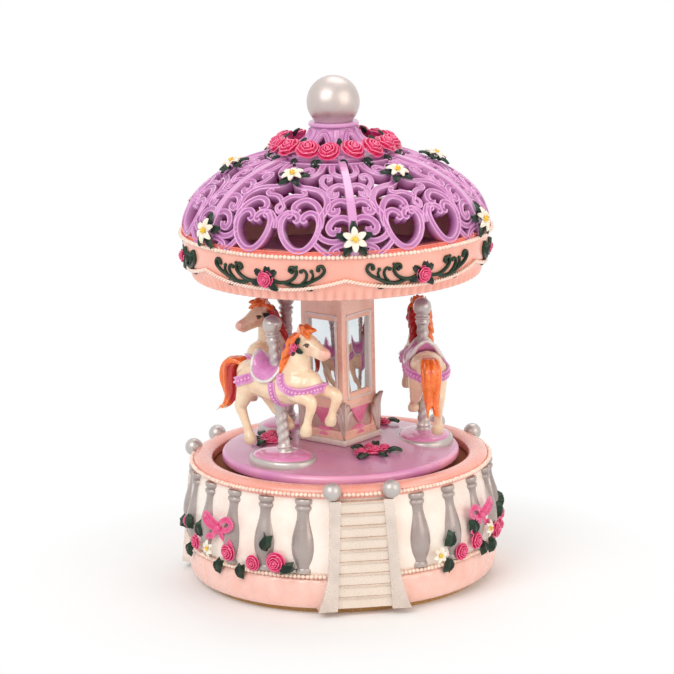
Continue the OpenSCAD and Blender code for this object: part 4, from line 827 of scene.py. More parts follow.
# Pads. Each horse's pole stands on an oval pad, silver at its side and pink on its crowned top.
# The pads are cast on the platform.
HORSE_ORBIT = 29.3
HORSE_TURNS = [(5, 1), (126, 0), (228, 6)]
PAD_L, PAD_W, PAD_SEAT_Z, PAD_SIDE, PAD_CROWN = 25.5, 20, 44.66, 3.2, 1.7
PAD_TOP = PAD_SEAT_Z + PAD_SIDE + PAD_CROWN
pad_half = PAD_L / 2
pad_outline = [(0, 0), (pad_half - 0.7, 0), (pad_half - 0.15, 0.3), (pad_half, 0.8), (pad_half, 1.5),
               (pad_half - 0.1, 2.2), (pad_half - 0.35, 2.75), (pad_half - 0.8, 3.1), (pad_half - 1.3, 3.2),
               (pad_half - 1.55, 3.1)]
pad_outline += [((pad_half - 1.7) * math.cos(a), PAD_SIDE - 0.1 + (PAD_CROWN + 0.1) * math.sin(a) ** 0.9)
                for a in [math.radians(4 + 9.5 * k) for k in range(9)]] + [(0, PAD_SIDE + PAD_CROWN)]
pad = turn("pad", pad_outline, 72)
edge_zone(pad, lambda centre: math.hypot(centre.x, centre.y) > pad_half - 1.6)
with Editing():
    bpy.ops.transform.resize(value=(PAD_W / PAD_L, 1, 1))
pads = copies(pad, "crowned_pads", [rotated(a)
                                    @ shifted(HORSE_ORBIT, 0, PAD_SEAT_Z) for a, _ in HORSE_TURNS])
pad_pink = paint("pad_pink_paint", (228, 146, 196), (214, 128, 176), patch=7, rough=0.2, grain=0.02,
                 lacquer=0.7)
finish(pads, "carousel", [pad_pink, silver_paint], "pad_pink", "horse_pads", smooth=40)

# Rose clusters. Four roses with leaves lie between the horses, cast on the platform.
# They use the garland's rose and leaf, lying flat.
CLUSTERS = [(299, 24), (178, 25), (62, 25)]
CLUSTER_ROSES = [(0, 0, 2.9), (4.6, 1.6, 2.3), (-4.6, 1, 2.4), (0.6, 4.8, 2)]
CLUSTER_LEAVES = [(6.4, -2, -20, 4), (-6, -2.6, 200, 4), (3.8, 6, 60, 3.6), (-3.6, 5, 120, 3.8),
                  (0.8, -4, -90, 3.6)]


def cluster_places(items, lift):
    found = []
    for azimuth, radius in CLUSTERS:
        for item in items:
            z = table_z(math.hypot(radius - item[1], item[0])) + lift
            found.append((rotated(azimuth) @ shifted(radius, 0, 0)
                          @ spun(math.pi / 2) @ shifted(item[0], item[1], z), item))
    return found


table_roses = copies(rose(), "platform_rose_heads", [
    place @ spun(spin_random.uniform(0, 6)) @ sized(item[2] * 1.05)
    for place, item in cluster_places(CLUSTER_ROSES, 0.2)])
finish(table_roses, "carousel", rose_paint, "rose_pink", "platform_roses", smooth=60)
table_leaves = copies(leaf(thick=0.22), "platform_leaf_sprays", [
    place @ rotated(item[2]) @ shifted(-item[3] / 2, 0, 0)
    @ spun(-0.1, "Y") @ sized(item[3] * 1.15)
    for place, item in cluster_places(CLUSTER_LEAVES, 1.2)])
finish(table_leaves, "carousel", leaf_green, "leaf_green", "platform_leaves", smooth=60)

# Column. A four-sided pillar on a silver foot, its corner posts rounded, with a sunk field for a mirror
# and a lower panel on each side. It carries the canopy.
COLUMN_TURN, COLUMN_W, FOOT_W, FOOT_H, POST_W = 231.3, 18.2, 20.8, 2.2, 2.3
MIRROR_LOW, MIRROR_H, PANEL_LOW = 15.6, 30.0, 2.8
MIRROR_W = COLUMN_W - 2 * POST_W
half_w = COLUMN_W / 2


def column_side(k, out=half_w):
    """Where a piece lies on side k: x across the side, y up from the platform, z out of it."""
    return (rotated(COLUMN_TURN + 90 * k + 90)
            @ shifted(0, -out, TABLE_TOP) @ spun(math.pi / 2, "X"))


pillar = box("pillar", (-half_w, -half_w, TABLE_TOP), (half_w, half_w, 106))
for level in (TABLE_TOP + FOOT_H, TABLE_TOP + PANEL_LOW, TABLE_TOP + MIRROR_LOW - 1.4, TABLE_TOP + MIRROR_LOW,
              TABLE_TOP + MIRROR_LOW + MIRROR_H):
    with Editing():
        bpy.ops.mesh.bisect(plane_co=(0, 0, level), plane_no=(0, 0, 1))


def sink(part, low, high, border, depth):
    """Insets the side faces between two heights and pushes them in."""
    pick(part)
    bpy.ops.object.mode_set(mode="EDIT")
    bpy.ops.mesh.select_mode(type="FACE")
    bpy.ops.mesh.select_all(action="DESELECT")
    bpy.ops.object.mode_set(mode="OBJECT")
    for face in part.data.polygons:
        face.select = abs(face.normal.z) < 0.5 and low < face.center.z < high
    bpy.ops.object.mode_set(mode="EDIT")
    bpy.ops.mesh.inset(thickness=border, depth=0, use_individual=True)
    bpy.ops.mesh.inset(thickness=0.12, depth=-depth, use_individual=True)
    bpy.ops.object.mode_set(mode="OBJECT")


sink(pillar, TABLE_TOP + MIRROR_LOW, TABLE_TOP + MIRROR_LOW + MIRROR_H, POST_W, 1.5)
sink(pillar, TABLE_TOP + PANEL_LOW, TABLE_TOP + MIRROR_LOW - 1.4, POST_W - 0.3, 1.5)
bevel(pillar, 0.5, 3, angle_limit=math.radians(50))
foot = box("foot", (-FOOT_W / 2, -FOOT_W / 2, TABLE_TOP + 0.02), (FOOT_W / 2, FOOT_W / 2, TABLE_TOP + FOOT_H))
bevel(foot, 0.55, 3)
cornice = turn("cornice", [(0, 101.6), (12.4, 101.6), (12.55, 102.0), (12.2, 102.5), (12.3, 103.1),
                           (12.9, 103.7), (13.6, 104.6), (13.9, 105.4), (13.9, 108.2), (0, 108.2)], 4)
with Editing():
    bpy.ops.transform.rotate(value=math.radians(-45), orient_axis="Z", center_override=(0, 0, 0))
bevel(cornice, 0.3, 2)
body = join("cast_column", [pillar, foot, cornice])
edge_zone(body, lambda centre: centre.z < TABLE_TOP + FOOT_H + 0.01)
body.matrix_world = rotated(COLUMN_TURN)
column_pearl = paint("column_pearl_paint", (255, 210, 188), (252, 196, 174), patch=10, rough=0.28,
                     hollow_shade=(196, 124, 104), edge=(250, 208, 190), lacquer=0.5, metal=0.05)
column_silver = paint("column_silver_paint", (232, 216, 206), (216, 198, 186), patch=8, rough=0.32,
                      hollow_shade=(160, 126, 110), edge=(255, 250, 244), lacquer=0.4, metal=0.08)
finish(body, "carousel", [column_pearl, column_silver], "column_pearl", "column_frame", smooth=35)

# Mirrors. A bevelled glass in a narrow silver frame on each side of the column.
# The frame's inner lip is beaded.
four_sides = [column_side(k) for k in range(4)]
glass = box("glass", (-MIRROR_W / 2 + 0.5, MIRROR_LOW + 0.5, -1.5),
            (MIRROR_W / 2 - 0.5, MIRROR_LOW + MIRROR_H - 0.5, -0.7))
bevel(glass, 0.3, 2)
silvered, mirror_tree, _, mirror_place = blank_finish("silvered_glass")
haze = cloud(mirror_tree, mirror_place, 220)
tune(silvered, {"Metallic": 1.0, "Roughness": spread(mirror_tree, haze, 0, 1, 0.02, 0.07),
                "Base Color": banded(mirror_tree, haze, 0, (214, 222, 226), 1, (234, 238, 240))})
finish(copies(glass, "bevelled_mirrors", four_sides), "carousel", silvered, "mirror", "column_mirrors",
       smooth=30)
edge_x, low_y, high_y, bar_w = MIRROR_W / 2 - 0.05, MIRROR_LOW + 0.05, MIRROR_LOW + MIRROR_H - 0.05, 0.75
bar_corners = ((-edge_x, low_y, -edge_x + bar_w, high_y), (edge_x - bar_w, low_y, edge_x, high_y),
               (-edge_x, low_y, edge_x, low_y + bar_w), (-edge_x, high_y - bar_w, edge_x, high_y))
bars = [bevel(box("bar", (x0, y0, -1.4), (x1, y1, 0.28)), 0.25, 2) for x0, y0, x1, y1 in bar_corners]
deselect()
bpy.ops.mesh.primitive_ico_sphere_add(subdivisions=1, radius=0.2)
lip_beads = [shifted(side * (edge_x - 0.85), MIRROR_LOW + 1.6 + 0.62 * n, 0.1)
             for n in range(44) for side in (-1, 1)]
bars.append(copies(bpy.context.object, "lip", lip_beads))
finish(copies(join("surround", bars), "mirror_frames", four_sides), "carousel", column_silver, "silver_paint",
       smooth=40)

# Lower panels. A sunk silver field with a pointed pink apron above it and a low pink half disc at its foot.
# They are cast in relief and painted.
PANEL_TOP = MIRROR_LOW - 1.5
panel_h = PANEL_TOP - PANEL_LOW


def plate(name, outline, low, thick):
    """A flat plate of an outline, extruded upwards from a level."""
    part = draw_line(name, [(x, y, low) for x, y in outline], closed=True)
    with Editing():
        bpy.ops.mesh.edge_face_add()
        bpy.ops.mesh.extrude_region_move(TRANSFORM_OT_translate={"value": (0, 0, thick)})
        bpy.ops.mesh.select_all(action="SELECT")
        bpy.ops.mesh.normals_make_consistent(inside=False)
    return part


def mirrored(half):
    """A left and right outline from the points of its left half, the last of which lies in the middle."""
    return half + [(-x, y) for x, y in half[-2::-1]]


apron_half = [(-MIRROR_W / 2 + 0.2, PANEL_TOP), (-3.4, PANEL_LOW + 0.66 * panel_h),
              (-1.2, PANEL_LOW + 0.4 * panel_h), (0, PANEL_LOW + 0.33 * panel_h)]
apron = bevel(plate("apron", mirrored(apron_half), -0.95, 0.9), 0.22, 2)
half_disc = turn("half_disc", [(0, 0.8), (1.6, 0.78), (3.0, 0.66), (4.2, 0.4), (4.8, 0.0), (4.8, -0.4),
                               (0, -0.4)], 40)
reshape(half_disc, lambda p: Vector((p.x, p.y * 0.66, p.z)))
with Editing():
    bpy.ops.mesh.bisect(plane_co=(0, 0, 0), plane_no=(0, -1, 0), use_fill=True, clear_outer=True)
half_disc.matrix_world = shifted(0, PANEL_LOW + 0.15, -0.75)
reliefs = join("reliefs", [apron, half_disc])
settle()
field = box("field", (-MIRROR_W / 2 + 0.4, PANEL_LOW + 0.1, -1.6), (MIRROR_W / 2 - 0.4, PANEL_TOP, -0.9))
bevel(field, 0.15, 2)
panel_pink = paint("panel_pink_paint", (246, 140, 178), (238, 124, 166), patch=6, rough=0.26,
                   hollow_shade=(166, 62, 100), lacquer=0.5)
panel_field = paint("panel_field_paint", (216, 186, 176), (200, 168, 160), patch=6, rough=0.3,
                    hollow_shade=(140, 104, 98), metal=0.1)
fields = copies(field, "panel_fields", four_sides)
finish(copies(reliefs, "panel_reliefs", four_sides), "carousel", panel_pink, "panel_pink", "column_panels",
       smooth=35)
finish(fields, "carousel", panel_field, "panel_pink", smooth=35)

# Acanthus corners. Fans of ribbed leaves wrap the column's corners above its foot, painted silver.
# Each fan has five broad lobes with rolled tips.
ACANTHUS_H = 13.6


def fan():
    blades = []
    for k in range(-2, 3):
        blade = grid(12, 13)
        long = ACANTHUS_H * (1 - 0.05 * abs(k) - 0.035 * k * k)
        splay = math.radians(11 * k)

        def rib(point, long=long, splay=splay, k=k):
            up, across = point.y + 0.5, point.x * 2
            half = (0.45 + 1.25 * up) * math.sqrt(max(1 - (max(up - 0.86, 0) / 0.15) ** 2, 0.02))
            bent = splay * (0.25 + 0.75 * up)
            x = long * up * math.sin(bent) + across * half * math.cos(bent)
            z = long * up * math.cos(bent) - across * half * math.sin(bent)
            flute = 0.22 * math.cos(across * math.pi * 2.5)
            curl = 6.4 * max(up - 0.64, 0) ** 1.5
            out = 0.75 + 0.85 * (1 - across * across) + 0.4 * flute + curl - 0.3 * abs(k)
            return Vector((x, -out - 0.35 * math.sin(math.pi * up), z))
        reshape(blade, rib)
        modify(blade, "SOLIDIFY", thickness=0.6, offset=-1)
        blades.append(blade)
    whole = join("fan", blades)
    settle()

    def wrap(point):
        """Folds the flat fan round the square corner."""
        reach = abs(point.x)
        depth = -point.y
        return Vector((math.copysign(reach * 0.75, point.x), -depth + reach * 0.62, point.z))
    reshape(whole, wrap)
    face_out()
    return whole


corner_reach = COLUMN_W / math.sqrt(2) - 0.6
fans = copies(fan(), "acanthus_fans", [
    rotated(COLUMN_TURN + 135 + 90 * k) @ shifted(0, -corner_reach, TABLE_TOP + FOOT_H) for k in range(4)])
finish(fans, "carousel", column_silver, "silver_paint", "acanthus_leaves", smooth=50)

# Horses. Three castings from one mould: a prancing horse with its near fore and far hind legs raised.
# The body is cream; limbs are built as swelling tubes, welded into one skin and smoothed.


def limb(name, joints, sides=14):
    """A swelling tube through (x, y, z, radius) joints with round ends."""
    line = glide(joints, 5)
    bones = [Vector((p[0], p[1], p[2])) for p in line]
    corners, faces = [], []
    for k, here in enumerate(bones):
        ahead = (bones[min(k + 1, len(bones) - 1)] - bones[max(k - 1, 0)]).normalized()
        side = ahead.cross(Vector((0, 1, 0.02))).normalized()
        other = ahead.cross(side)
        for n in range(sides):
            a = 2 * math.pi * n / sides
            corners.append(here + (side * math.cos(a) + other * math.sin(a)) * line[k][3])
    for k in range(len(bones) - 1):
        for n in range(sides):
            m = (n + 1) % sides
            faces.append((k * sides + n, (k + 1) * sides + n, (k + 1) * sides + m, k * sides + m))
    faces += [tuple(range(sides)), tuple((len(bones) - 1) * sides + n for n in range(sides))[::-1]]
    tube = mesh_piece(name, corners, faces)
    ends = [globe(end[3] * 0.995, tuple(end[:3]), sides, sides // 2) for end in (line[0], line[-1])]
    return join(name, [tube] + ends)


HORSE_LIMBS = [
    # trunk from rump to chest
    [(-14.6, 0, 25.0, 4.6), (-12.0, 0, 24.4, 6.1), (-8, 0, 23.4, 6.2), (-2, 0, 22.6, 6.3),
     (4, 0, 22.9, 6.4), (9, 0, 24.2, 6.6), (12.4, 0, 24.4, 5.2)],
    # neck and head
    [(7.0, 0, 26.2, 5.6), (8.2, 0, 30.0, 4.5), (9.2, 0, 34.0, 3.5), (10.6, 0, 37.6, 3.0),
     (12.6, 0, 39.6, 2.7)],
    [(11.6, 0, 39.6, 2.5), (13.4, 0, 38.8, 3.0), (15.4, 0, 37.9, 2.7), (17.4, 0, 37.0, 2.25),
     (19.2, 0, 36.4, 2.05), (20.6, 0, 36.0, 1.95)],
    # near fore: lifted, knee forward
    [(8.0, -3.0, 22.6, 3.4), (11.0, -3.4, 21.4, 3.0), (14.2, -3.5, 20.7, 2.5), (16.6, -3.5, 19.8, 2.15),
     (16.6, -3.5, 17.2, 1.75), (15.5, -3.5, 14.2, 1.45), (14.9, -3.5, 12.0, 1.5), (14.4, -3.5, 10.2, 2.0),
     (14.1, -3.5, 8.9, 2.2)],
    # far fore: stretched further
    [(8.6, 3.0, 23.2, 3.4), (13.0, 3.4, 22.6, 2.7), (18.2, 3.5, 22.4, 2.3), (22.0, 3.5, 21.4, 2.1),
     (21.6, 3.5, 18.8, 1.7), (20.4, 3.5, 16.4, 1.45), (19.8, 3.5, 14.6, 1.5), (19.3, 3.5, 13.0, 1.95),
     (19.0, 3.5, 11.9, 2.15)],
    # near hind: standing back
    [(-12.4, -2.6, 23.2, 4.6), (-13.4, -3.1, 19.4, 3.5), (-15.0, -3.3, 15.8, 2.6), (-16.0, -3.3, 13.4, 2.1),
     (-14.8, -3.3, 10.4, 1.65), (-13.4, -3.3, 7.2, 1.5), (-12.6, -3.3, 5.2, 1.6), (-12.1, -3.3, 3.6, 2.1),
     (-11.8, -3.3, 2.4, 2.3)],
    # far hind: drawn under
    [(-11.0, 2.6, 22.8, 4.4), (-9.2, 3.1, 18.4, 3.2), (-6.6, 3.4, 14.4, 2.3), (-5.4, 3.5, 12.6, 2.0),
     (-3.6, 3.6, 11.6, 1.65), (-1.8, 3.6, 10.2, 1.5), (-0.8, 3.6, 9.2, 1.75), (-0.2, 3.6, 7.9, 2.15)],
    # jaw, lips, brow and ears
    [(13.4, 0, 37.0, 2.5), (16.4, 0, 35.9, 1.8), (19.4, 0, 34.8, 1.4)],
    [(14.2, -1.3, 39.6, 1.25), (15.6, -1.35, 39.0, 1.0)],
    [(14.2, 1.3, 39.6, 1.25), (15.6, 1.35, 39.0, 1.0)],
    [(11.2, -1.9, 41.2, 1.05), (10.8, -2.3, 43.0, 0.85), (11.0, -2.5, 44.8, 0.32)],
    [(11.2, 1.9, 41.2, 1.05), (10.8, 2.3, 43.0, 0.85), (11.0, 2.5, 44.8, 0.32)],
    # hock points and knees
    [(-16.6, -3.3, 13.9, 1.2), (-17.0, -3.3, 14.5, 0.7)],
    [(-6.4, 3.5, 13.0, 1.3), (-7.0, 3.5, 13.5, 0.7)],
]


# (a spot on one side of the head or body, reach, depth) of what is pressed in on both sides
CARVINGS = [((14.3, 2.3, 38.6), 1.25, 0.4), ((21.6, 1.1, 36.6), 0.75, 0.4), ((20.8, 1.3, 35.4), 0.9, 0.18),
            ((17.0, 1.6, 37.2), 1.8, 0.2), ((16.6, 1.6, 39.4), 1.6, 0.2), ((11.3, 2.9, 42.6), 1.0, 0.5),
            ((-6.0, 5.0, 18.6), 3.2, 0.35), ((6.2, 5.0, 19.2), 2.6, 0.3)]
SOLES = [Vector((14.1, -3.5, 7.6)), Vector((19.0, 3.5, 10.6)), Vector((-11.8, -3.3, 1.0)),
         Vector((-0.2, 3.6, 6.6))]


def carve(point):
    """Presses in the eye sockets, nostrils, mouth, cheeks, ears and flanks, and flattens the soles."""
    moved = Vector(point)
    for spot, reach, depth in CARVINGS:
        for side in (-1, 1):
            away = (point - Vector((spot[0], spot[1] * side, spot[2]))).length / reach
            if away < 1:
                moved.y -= side * depth * (1 - away * away) ** 2
    for sole in SOLES:
        if (moved - sole).length < 3.2:
            moved.z = max(moved.z, sole.z)
    return moved


skin = join("horse", [limb("limb", joints) for joints in HORSE_LIMBS])
modify(skin, "REMESH", mode="VOXEL", voxel_size=0.42)
modify(skin, "SMOOTH", factor=0.5, iterations=7)
reshape(skin, carve)
bpy.ops.object.shade_smooth()


def store(part, attribute, rule):
    """Keeps a share of 0 to 1 at every corner of a mesh, for its paint to read."""
    layer = part.data.attributes.new(attribute, "FLOAT", "POINT")
    for corner in part.data.vertices:
        layer.data[corner.index].value = min(max(rule(corner.co), 0), 1)


def touched(touches):
    """A rule for how strongly a place takes a colour, from (spot, reach, strength) touches."""
    def rule(point):
        return max(strong * (1 - ((point - Vector(spot)).length / reach) ** 2)
                   for spot, reach, strong in touches)
    return rule


store(skin, "blush", touched([((22.0, 0, 35.8), 4.4, 0.75), ((15.6, -2.6, 36.8), 2.4, 0.35),
                              ((15.6, 2.6, 36.8), 2.4, 0.35), ((11.0, -2.6, 43.2), 2.0, 0.6),
                              ((11.0, 2.6, 43.2), 2.0, 0.6)]))
store(skin, "hoof", touched([((14.0, -3.5, 9.2), 2.6, 0.8), ((19.0, 3.5, 12.2), 2.6, 0.8),
                             ((-11.8, -3.3, 2.4), 2.8, 0.8), ((0.2, 3.6, 7.8), 2.6, 0.8)]))
horse_cream = paint("horse_cream_paint", (246, 224, 192), (238, 206, 172), patch=5, rough=0.24, grain=0.03,
                    hollow_shade=(186, 132, 106), edge=(254, 240, 220), lacquer=0.6)
overpaint(horse_cream, "blush", (232, 160, 150))
overpaint(horse_cream, "hoof", (176, 150, 126))
tune(horse_cream, {"Subsurface Weight": 0.08, "Subsurface Scale": 0.6 * MM})

# Harness and saddle. A saddle with a high cantle and pommel, its skirt edged with a white roll,
# and beaded straps round breast, belly and rump. They are cast on the horse and painted lilac pink.
TRUNK_Z = 23.4


def probe(part):
    """What a ray cast on a piece needs."""
    return BVHTree.FromPolygons([v.co.copy() for v in part.data.vertices],
                                [tuple(p.vertices) for p in part.data.polygons])


hide = probe(skin)
bare_trunk = join("trunk", [limb("part", HORSE_LIMBS[0]), limb("part", HORSE_LIMBS[1])])
trunk = probe(bare_trunk)
bpy.data.objects.remove(bare_trunk)


def on_hide(start, aim, lift, surface=hide):
    """A point that lies just off the horse, looking from inside it along aim."""
    aim = Vector(aim).normalized()
    hit = surface.ray_cast(Vector(start) + aim * 12, -aim)[0]
    return hit + aim * lift if hit else Vector(start) + aim * 6


def belt(name, middle, along, arc, width):
    """A beaded strap round the trunk in the plane of along and the cross axis, arc being its two ends."""
    along = Vector(along).normalized()
    line = []
    for k in range(65):
        a = math.radians(arc[0] + (arc[1] - arc[0]) * k / 64)
        line.append(on_hide(middle, along * math.cos(a) + Vector((0, 1, 0)) * math.sin(a), 0.35))
    return beaded(name, line, Vector(middle), width)


def collar():
    """The breast strap: from the saddle's low corners down and forward round the chest."""
    side = glide([(90, 4.6, 28.0), (90, 5.6, 26.0), (84, 6.6, 24.2), (68, 7.6, 23.0), (44, 8.6, 22.8),
                  (20, 9.2, 23.6), (0, 9.4, 24.0)], 6)
    line = []
    for turned, x, z in side + [Vector((-p.x, p.y, p.z)) for p in side[-2::-1]]:
        a = math.radians(turned)
        aim, start = Vector((math.cos(a), math.sin(a), 0)), Vector((x, 0, z))
        over_skin = (on_hide(start, aim, 0.4) - start).length
        over_trunk = (on_hide(start, aim, 0.4, trunk) - start).length + 0.5 + 1.7 * abs(aim.y)
        line.append(start + aim * min(over_skin, over_trunk))
    return beaded("breast", line, Vector((4, 0, 25)), 3.2)


def beaded(name, line, centre, width):
    """A strap of a width with raised edges and a row of beads along a line."""
    turns = len(line) - 1
    for _ in range(3):
        line = [line[0]] + [(line[k - 1] + line[k] * 2 + line[k + 1]) / 4
                            for k in range(1, turns)] + [line[-1]]
    half = width / 2
    section = [(-half, -0.7), (half, -0.7), (half, 0.1), (half - 0.2, 0.42), (half - 0.45, 0.15),
               (-half + 0.45, 0.15), (-half + 0.2, 0.42), (-half, 0.1)]
    parts = [strip("strap", line, section, lambda p: p - centre)]
    run, spots = 0.0, []
    for here, there in zip(line, line[1:]):
        run += (there - here).length
        if run > 1.02:
            run = 0.0
            spots.append(there + (there - centre).normalized() * 0.3)
    deselect()
    bpy.ops.mesh.primitive_ico_sphere_add(subdivisions=2, radius=0.5)
    bpy.ops.object.shade_smooth()
    parts.append(copies(bpy.context.object, "beads", [shifted(*s) for s in spots]))
    return join(name, parts)


SADDLE_X, SADDLE_LONG, SADDLE_DROP = -3.6, 12.6, 80


def saddle_spot(along, around, lift):
    """A point on the saddle: along runs 0 to 1 forwards, around is degrees from the spine."""
    share = abs(around) / SADDLE_DROP
    long = SADDLE_LONG * math.sqrt(max(1 - share ** 3.2, 0.02))
    x = SADDLE_X + (along - 0.5) * long + 1.0 * share
    spine = max(0, 1 - share * 2.1)
    cantle = 2.9 * math.exp(-((along - 0.02) / 0.13) ** 2)
    pommel = 2.2 * math.exp(-((along - 1) / 0.1) ** 2)
    rise = cantle * spine + pommel * spine
    a = math.radians(around)
    return on_hide((x, 0, TRUNK_Z), (0, math.sin(a), math.cos(a)), lift + rise)


def saddle_seat():
    rows, columns = 44, 18
    corners = [saddle_spot(c / columns, SADDLE_DROP * (2 * r / rows - 1), 0.75)
               for r in range(rows + 1) for c in range(columns + 1)]
    bases = [r * (columns + 1) + c for r in range(rows) for c in range(columns)]
    seat = mesh_piece("seat", corners, [(b, b + 1, b + columns + 2, b + columns + 1) for b in bases])
    face_out()
    modify(seat, "SMOOTH", factor=0.5, iterations=3)
    modify(seat, "SOLIDIFY", thickness=0.95, offset=-0.6)
    bpy.ops.object.shade_smooth()
    return seat


def saddle_roll():
    """The white roll that edges the skirt."""
    edge = [saddle_spot(0, SADDLE_DROP * (1 - 2 * k / 40), 0.8) for k in range(41)]
    edge += [saddle_spot(1, SADDLE_DROP * (2 * k / 40 - 1), 0.8) for k in range(41)]
    for _ in range(2):
        edge = [(edge[k - 1] + edge[k] * 2 + edge[(k + 1) % len(edge)]) / 4 for k in range(len(edge))]
    centre = Vector((SADDLE_X, 0, TRUNK_Z))
    return strip("roll", edge, round_section(8, 0.62), lambda p: p - centre, loop=True)


def round_section(sides, radius=1.0):
    return [(radius * math.cos(2 * math.pi * k / sides), radius * math.sin(2 * math.pi * k / sides))
            for k in range(sides)]


harness_parts = [saddle_seat(), collar(),
                 belt("girth", (1.6, 0, 22.4), (0.1, 0, -1), (-112, 112), 2.8),
                 belt("breeching", (-10.6, 0, 24.4), (-0.9, 0, -0.32), (-118, 118), 3.4)]
for part in harness_parts:
    edge_zone(part, lambda centre: False)
roll = saddle_roll()
edge_zone(roll, lambda centre: True)
harness = join("harness", harness_parts + [roll])
harness_pink = paint("harness_pink_paint", (226, 150, 206), (214, 130, 192), patch=2.5, rough=0.26,
                     hollow_shade=(168, 66, 140), edge=(244, 190, 228), lacquer=0.5)
roll_white = paint("saddle_roll_paint", (236, 230, 226), (216, 208, 206), patch=2, rough=0.25,
                   hollow_shade=(160, 140, 150), lacquer=0.5, metal=0.1)

# Manes and tails. Chunky carved locks, orange, with dark red painted shade on the mane's far side and the
# tail's fore side.
# The forelock stands up between the ears and the tail flicks out at its end.
lock_random = random.Random(11)


def lock(root, drop, thick, bend):
    """One tapered lock that leaves root along drop and bends as it goes."""
    root, drop, bend = Vector(root), Vector(drop), Vector(bend)
    joints = []
    for share, size in ((0, 0.75), (0.2, 1.0), (0.45, 0.95), (0.7, 0.7), (0.9, 0.36), (1, 0.12)):
        spot = root + drop * share + bend * math.sin(math.pi * share) * 0.5 + bend * share * share * 0.6
        joints.append((spot.x, spot.y, spot.z, thick * size))
    return limb("lock", joints, sides=8)


CREST = [(4.6, 28.8), (4.9, 31.4), (5.4, 34.0), (6.2, 36.6), (7.4, 39.0), (9.0, 41.0), (11.2, 42.6)]
mane_locks = []
for k, (x, z) in enumerate(CREST):
    for side in (-1, 1):
        drift = [lock_random.uniform(-0.5, 0.5) for _ in range(6)]
        drop = (-1.6 + drift[0], side * (2.6 + drift[1] * 0.5), -4.6 + drift[2])
        mane_locks.append(lock((x + 0.4, side * 0.7, z), drop, 1.35 + 0.15 * drift[3],
                               (-1.1 + drift[4], side * 1.4, 0.8)))
    mane_locks.append(lock((x, 0, z - 0.4), (-2.6 + drift[0], drift[1], -2.4 + drift[2]), 1.5,
                           (-0.9, drift[5], 1.2)))
for drop, bend in (((4.6, -0.8, 0.2), (0.4, -0.6, 1.8)), ((4.2, 0.9, 0.0), (0.4, 0.6, 1.6)),
                   ((2.8, 0.1, 2.0), (0.2, 0, 1.0)), ((1.2, -1.4, 2.2), (-0.6, -0.6, 0.9)),
                   ((0.4, 1.4, 2.4), (-0.8, 0.6, 0.8)), ((-1.8, 0.2, 2.2), (-1.0, 0, 0.8)),
                   ((3.6, -1.8, -1.8), (0.8, -1.0, 0.9))):
    mane_locks.append(lock((11.4, 0, 42.2), drop, 1.15, bend))
TAIL = [(-17.2, 28.0), (-20.4, 28.8), (-22.8, 26.4), (-23.6, 22.0), (-23.0, 17.4), (-24.0, 13.8),
        (-26.6, 11.8)]
tail_locks = []
for k in range(9):
    a = 2 * math.pi * k / 8
    off = 0.0 if k == 8 else 1.7
    flick, sway = lock_random.uniform(-1.6, 1.6), lock_random.uniform(0, 6)
    joints = []
    for n, (x, z) in enumerate(TAIL):
        share = n / (len(TAIL) - 1)
        apart = off * (0.35 + 1.0 * math.sin(math.pi * min(share * 1.1, 1)) + 0.7 * share ** 3)
        thick = (0.62 + 0.6 * math.sin(math.pi * min(share + 0.12, 1)) ** 0.8) * (1 - 0.75 * share ** 4)
        ripple = 0.6 * math.sin(9 * share + sway) * share
        across = apart * 1.15 * math.sin(a) + 0.6 * math.sin(5 * share + a)
        joints.append((x + apart * math.cos(a) + flick * share ** 3 * 1.6 + ripple, across,
                       z + 1.3 * flick * share ** 2, 0.98 * thick))
    tail_locks.append(limb("tail_lock", joints, sides=8))
mane = join("locks", mane_locks + tail_locks)
modify(mane, "REMESH", mode="VOXEL", voxel_size=0.28)
modify(mane, "SMOOTH", factor=0.4, iterations=1)
bpy.ops.object.shade_smooth()


def in_lock_shade(point):
    """Where the locks lie in their own shade: the tail's fore side and the mane's far side."""
    if point.x < -10:
        return min(max((point.x + 23.6) / 1.6, 0), 1) * min(max((28.2 - point.z) / 1.6, 0), 1)
    return min(max((point.y - 0.2) / 1.2, 0), 1) * min(max((41.6 - point.z) / 1.2, 0), 1)


store(mane, "depth", in_lock_shade)
mane_orange = paint("mane_orange_paint", (242, 124, 30), (236, 96, 20), patch=1.6, rough=0.26,
                    hollow_shade=(176, 30, 20), edge=(252, 168, 70), lacquer=0.6)
# Painted shade: dark red on the mane's far side and the tail's fore side.
overpaint(mane_orange, "depth", (190, 34, 30))

# Eyes and cheek flowers. Glossy black eyes under painted lids; a rose with two leaves sits behind each cheek.
# They are part of each horse's casting.
eyes = []
for side in (-1, 1):
    eye = globe(0.78, segments=16, rings=10)
    bpy.ops.transform.resize(value=(1.3, 0.5, 0.72))
    settle()
    spot = on_hide((14.4, 0, 38.6), (0, side, 0.0), 0.0)
    eye.matrix_world = shifted(*spot) @ rotated(18, "Y")
    lid_line = []
    for k in range(9):
        a = math.radians(10 + 20 * k)
        lid_z = 0.66 * math.sin(a) - 0.05 + 0.3 * math.cos(a)
        lid_line.append(spot + Vector((1.25 * math.cos(a), side * 0.14, lid_z)))
    lid = strip("lid", lid_line, round_section(6, 0.22), lambda p, side=side: Vector((0, side, 0.1)))
    edge_zone(eye, lambda centre: False)
    edge_zone(lid, lambda centre: True)
    eyes += [eye, lid]
eye_pair = join("eyes", eyes)
settle()
eye_black = paint("eye_black_paint", (16, 14, 14), (30, 24, 22), patch=1, rough=0.08, lacquer=1.0)
lid_brown = paint("eyelid_paint", (96, 64, 52), (70, 46, 40), patch=1, rough=0.3)
cheek_flowers, cheek_leaves = [], []
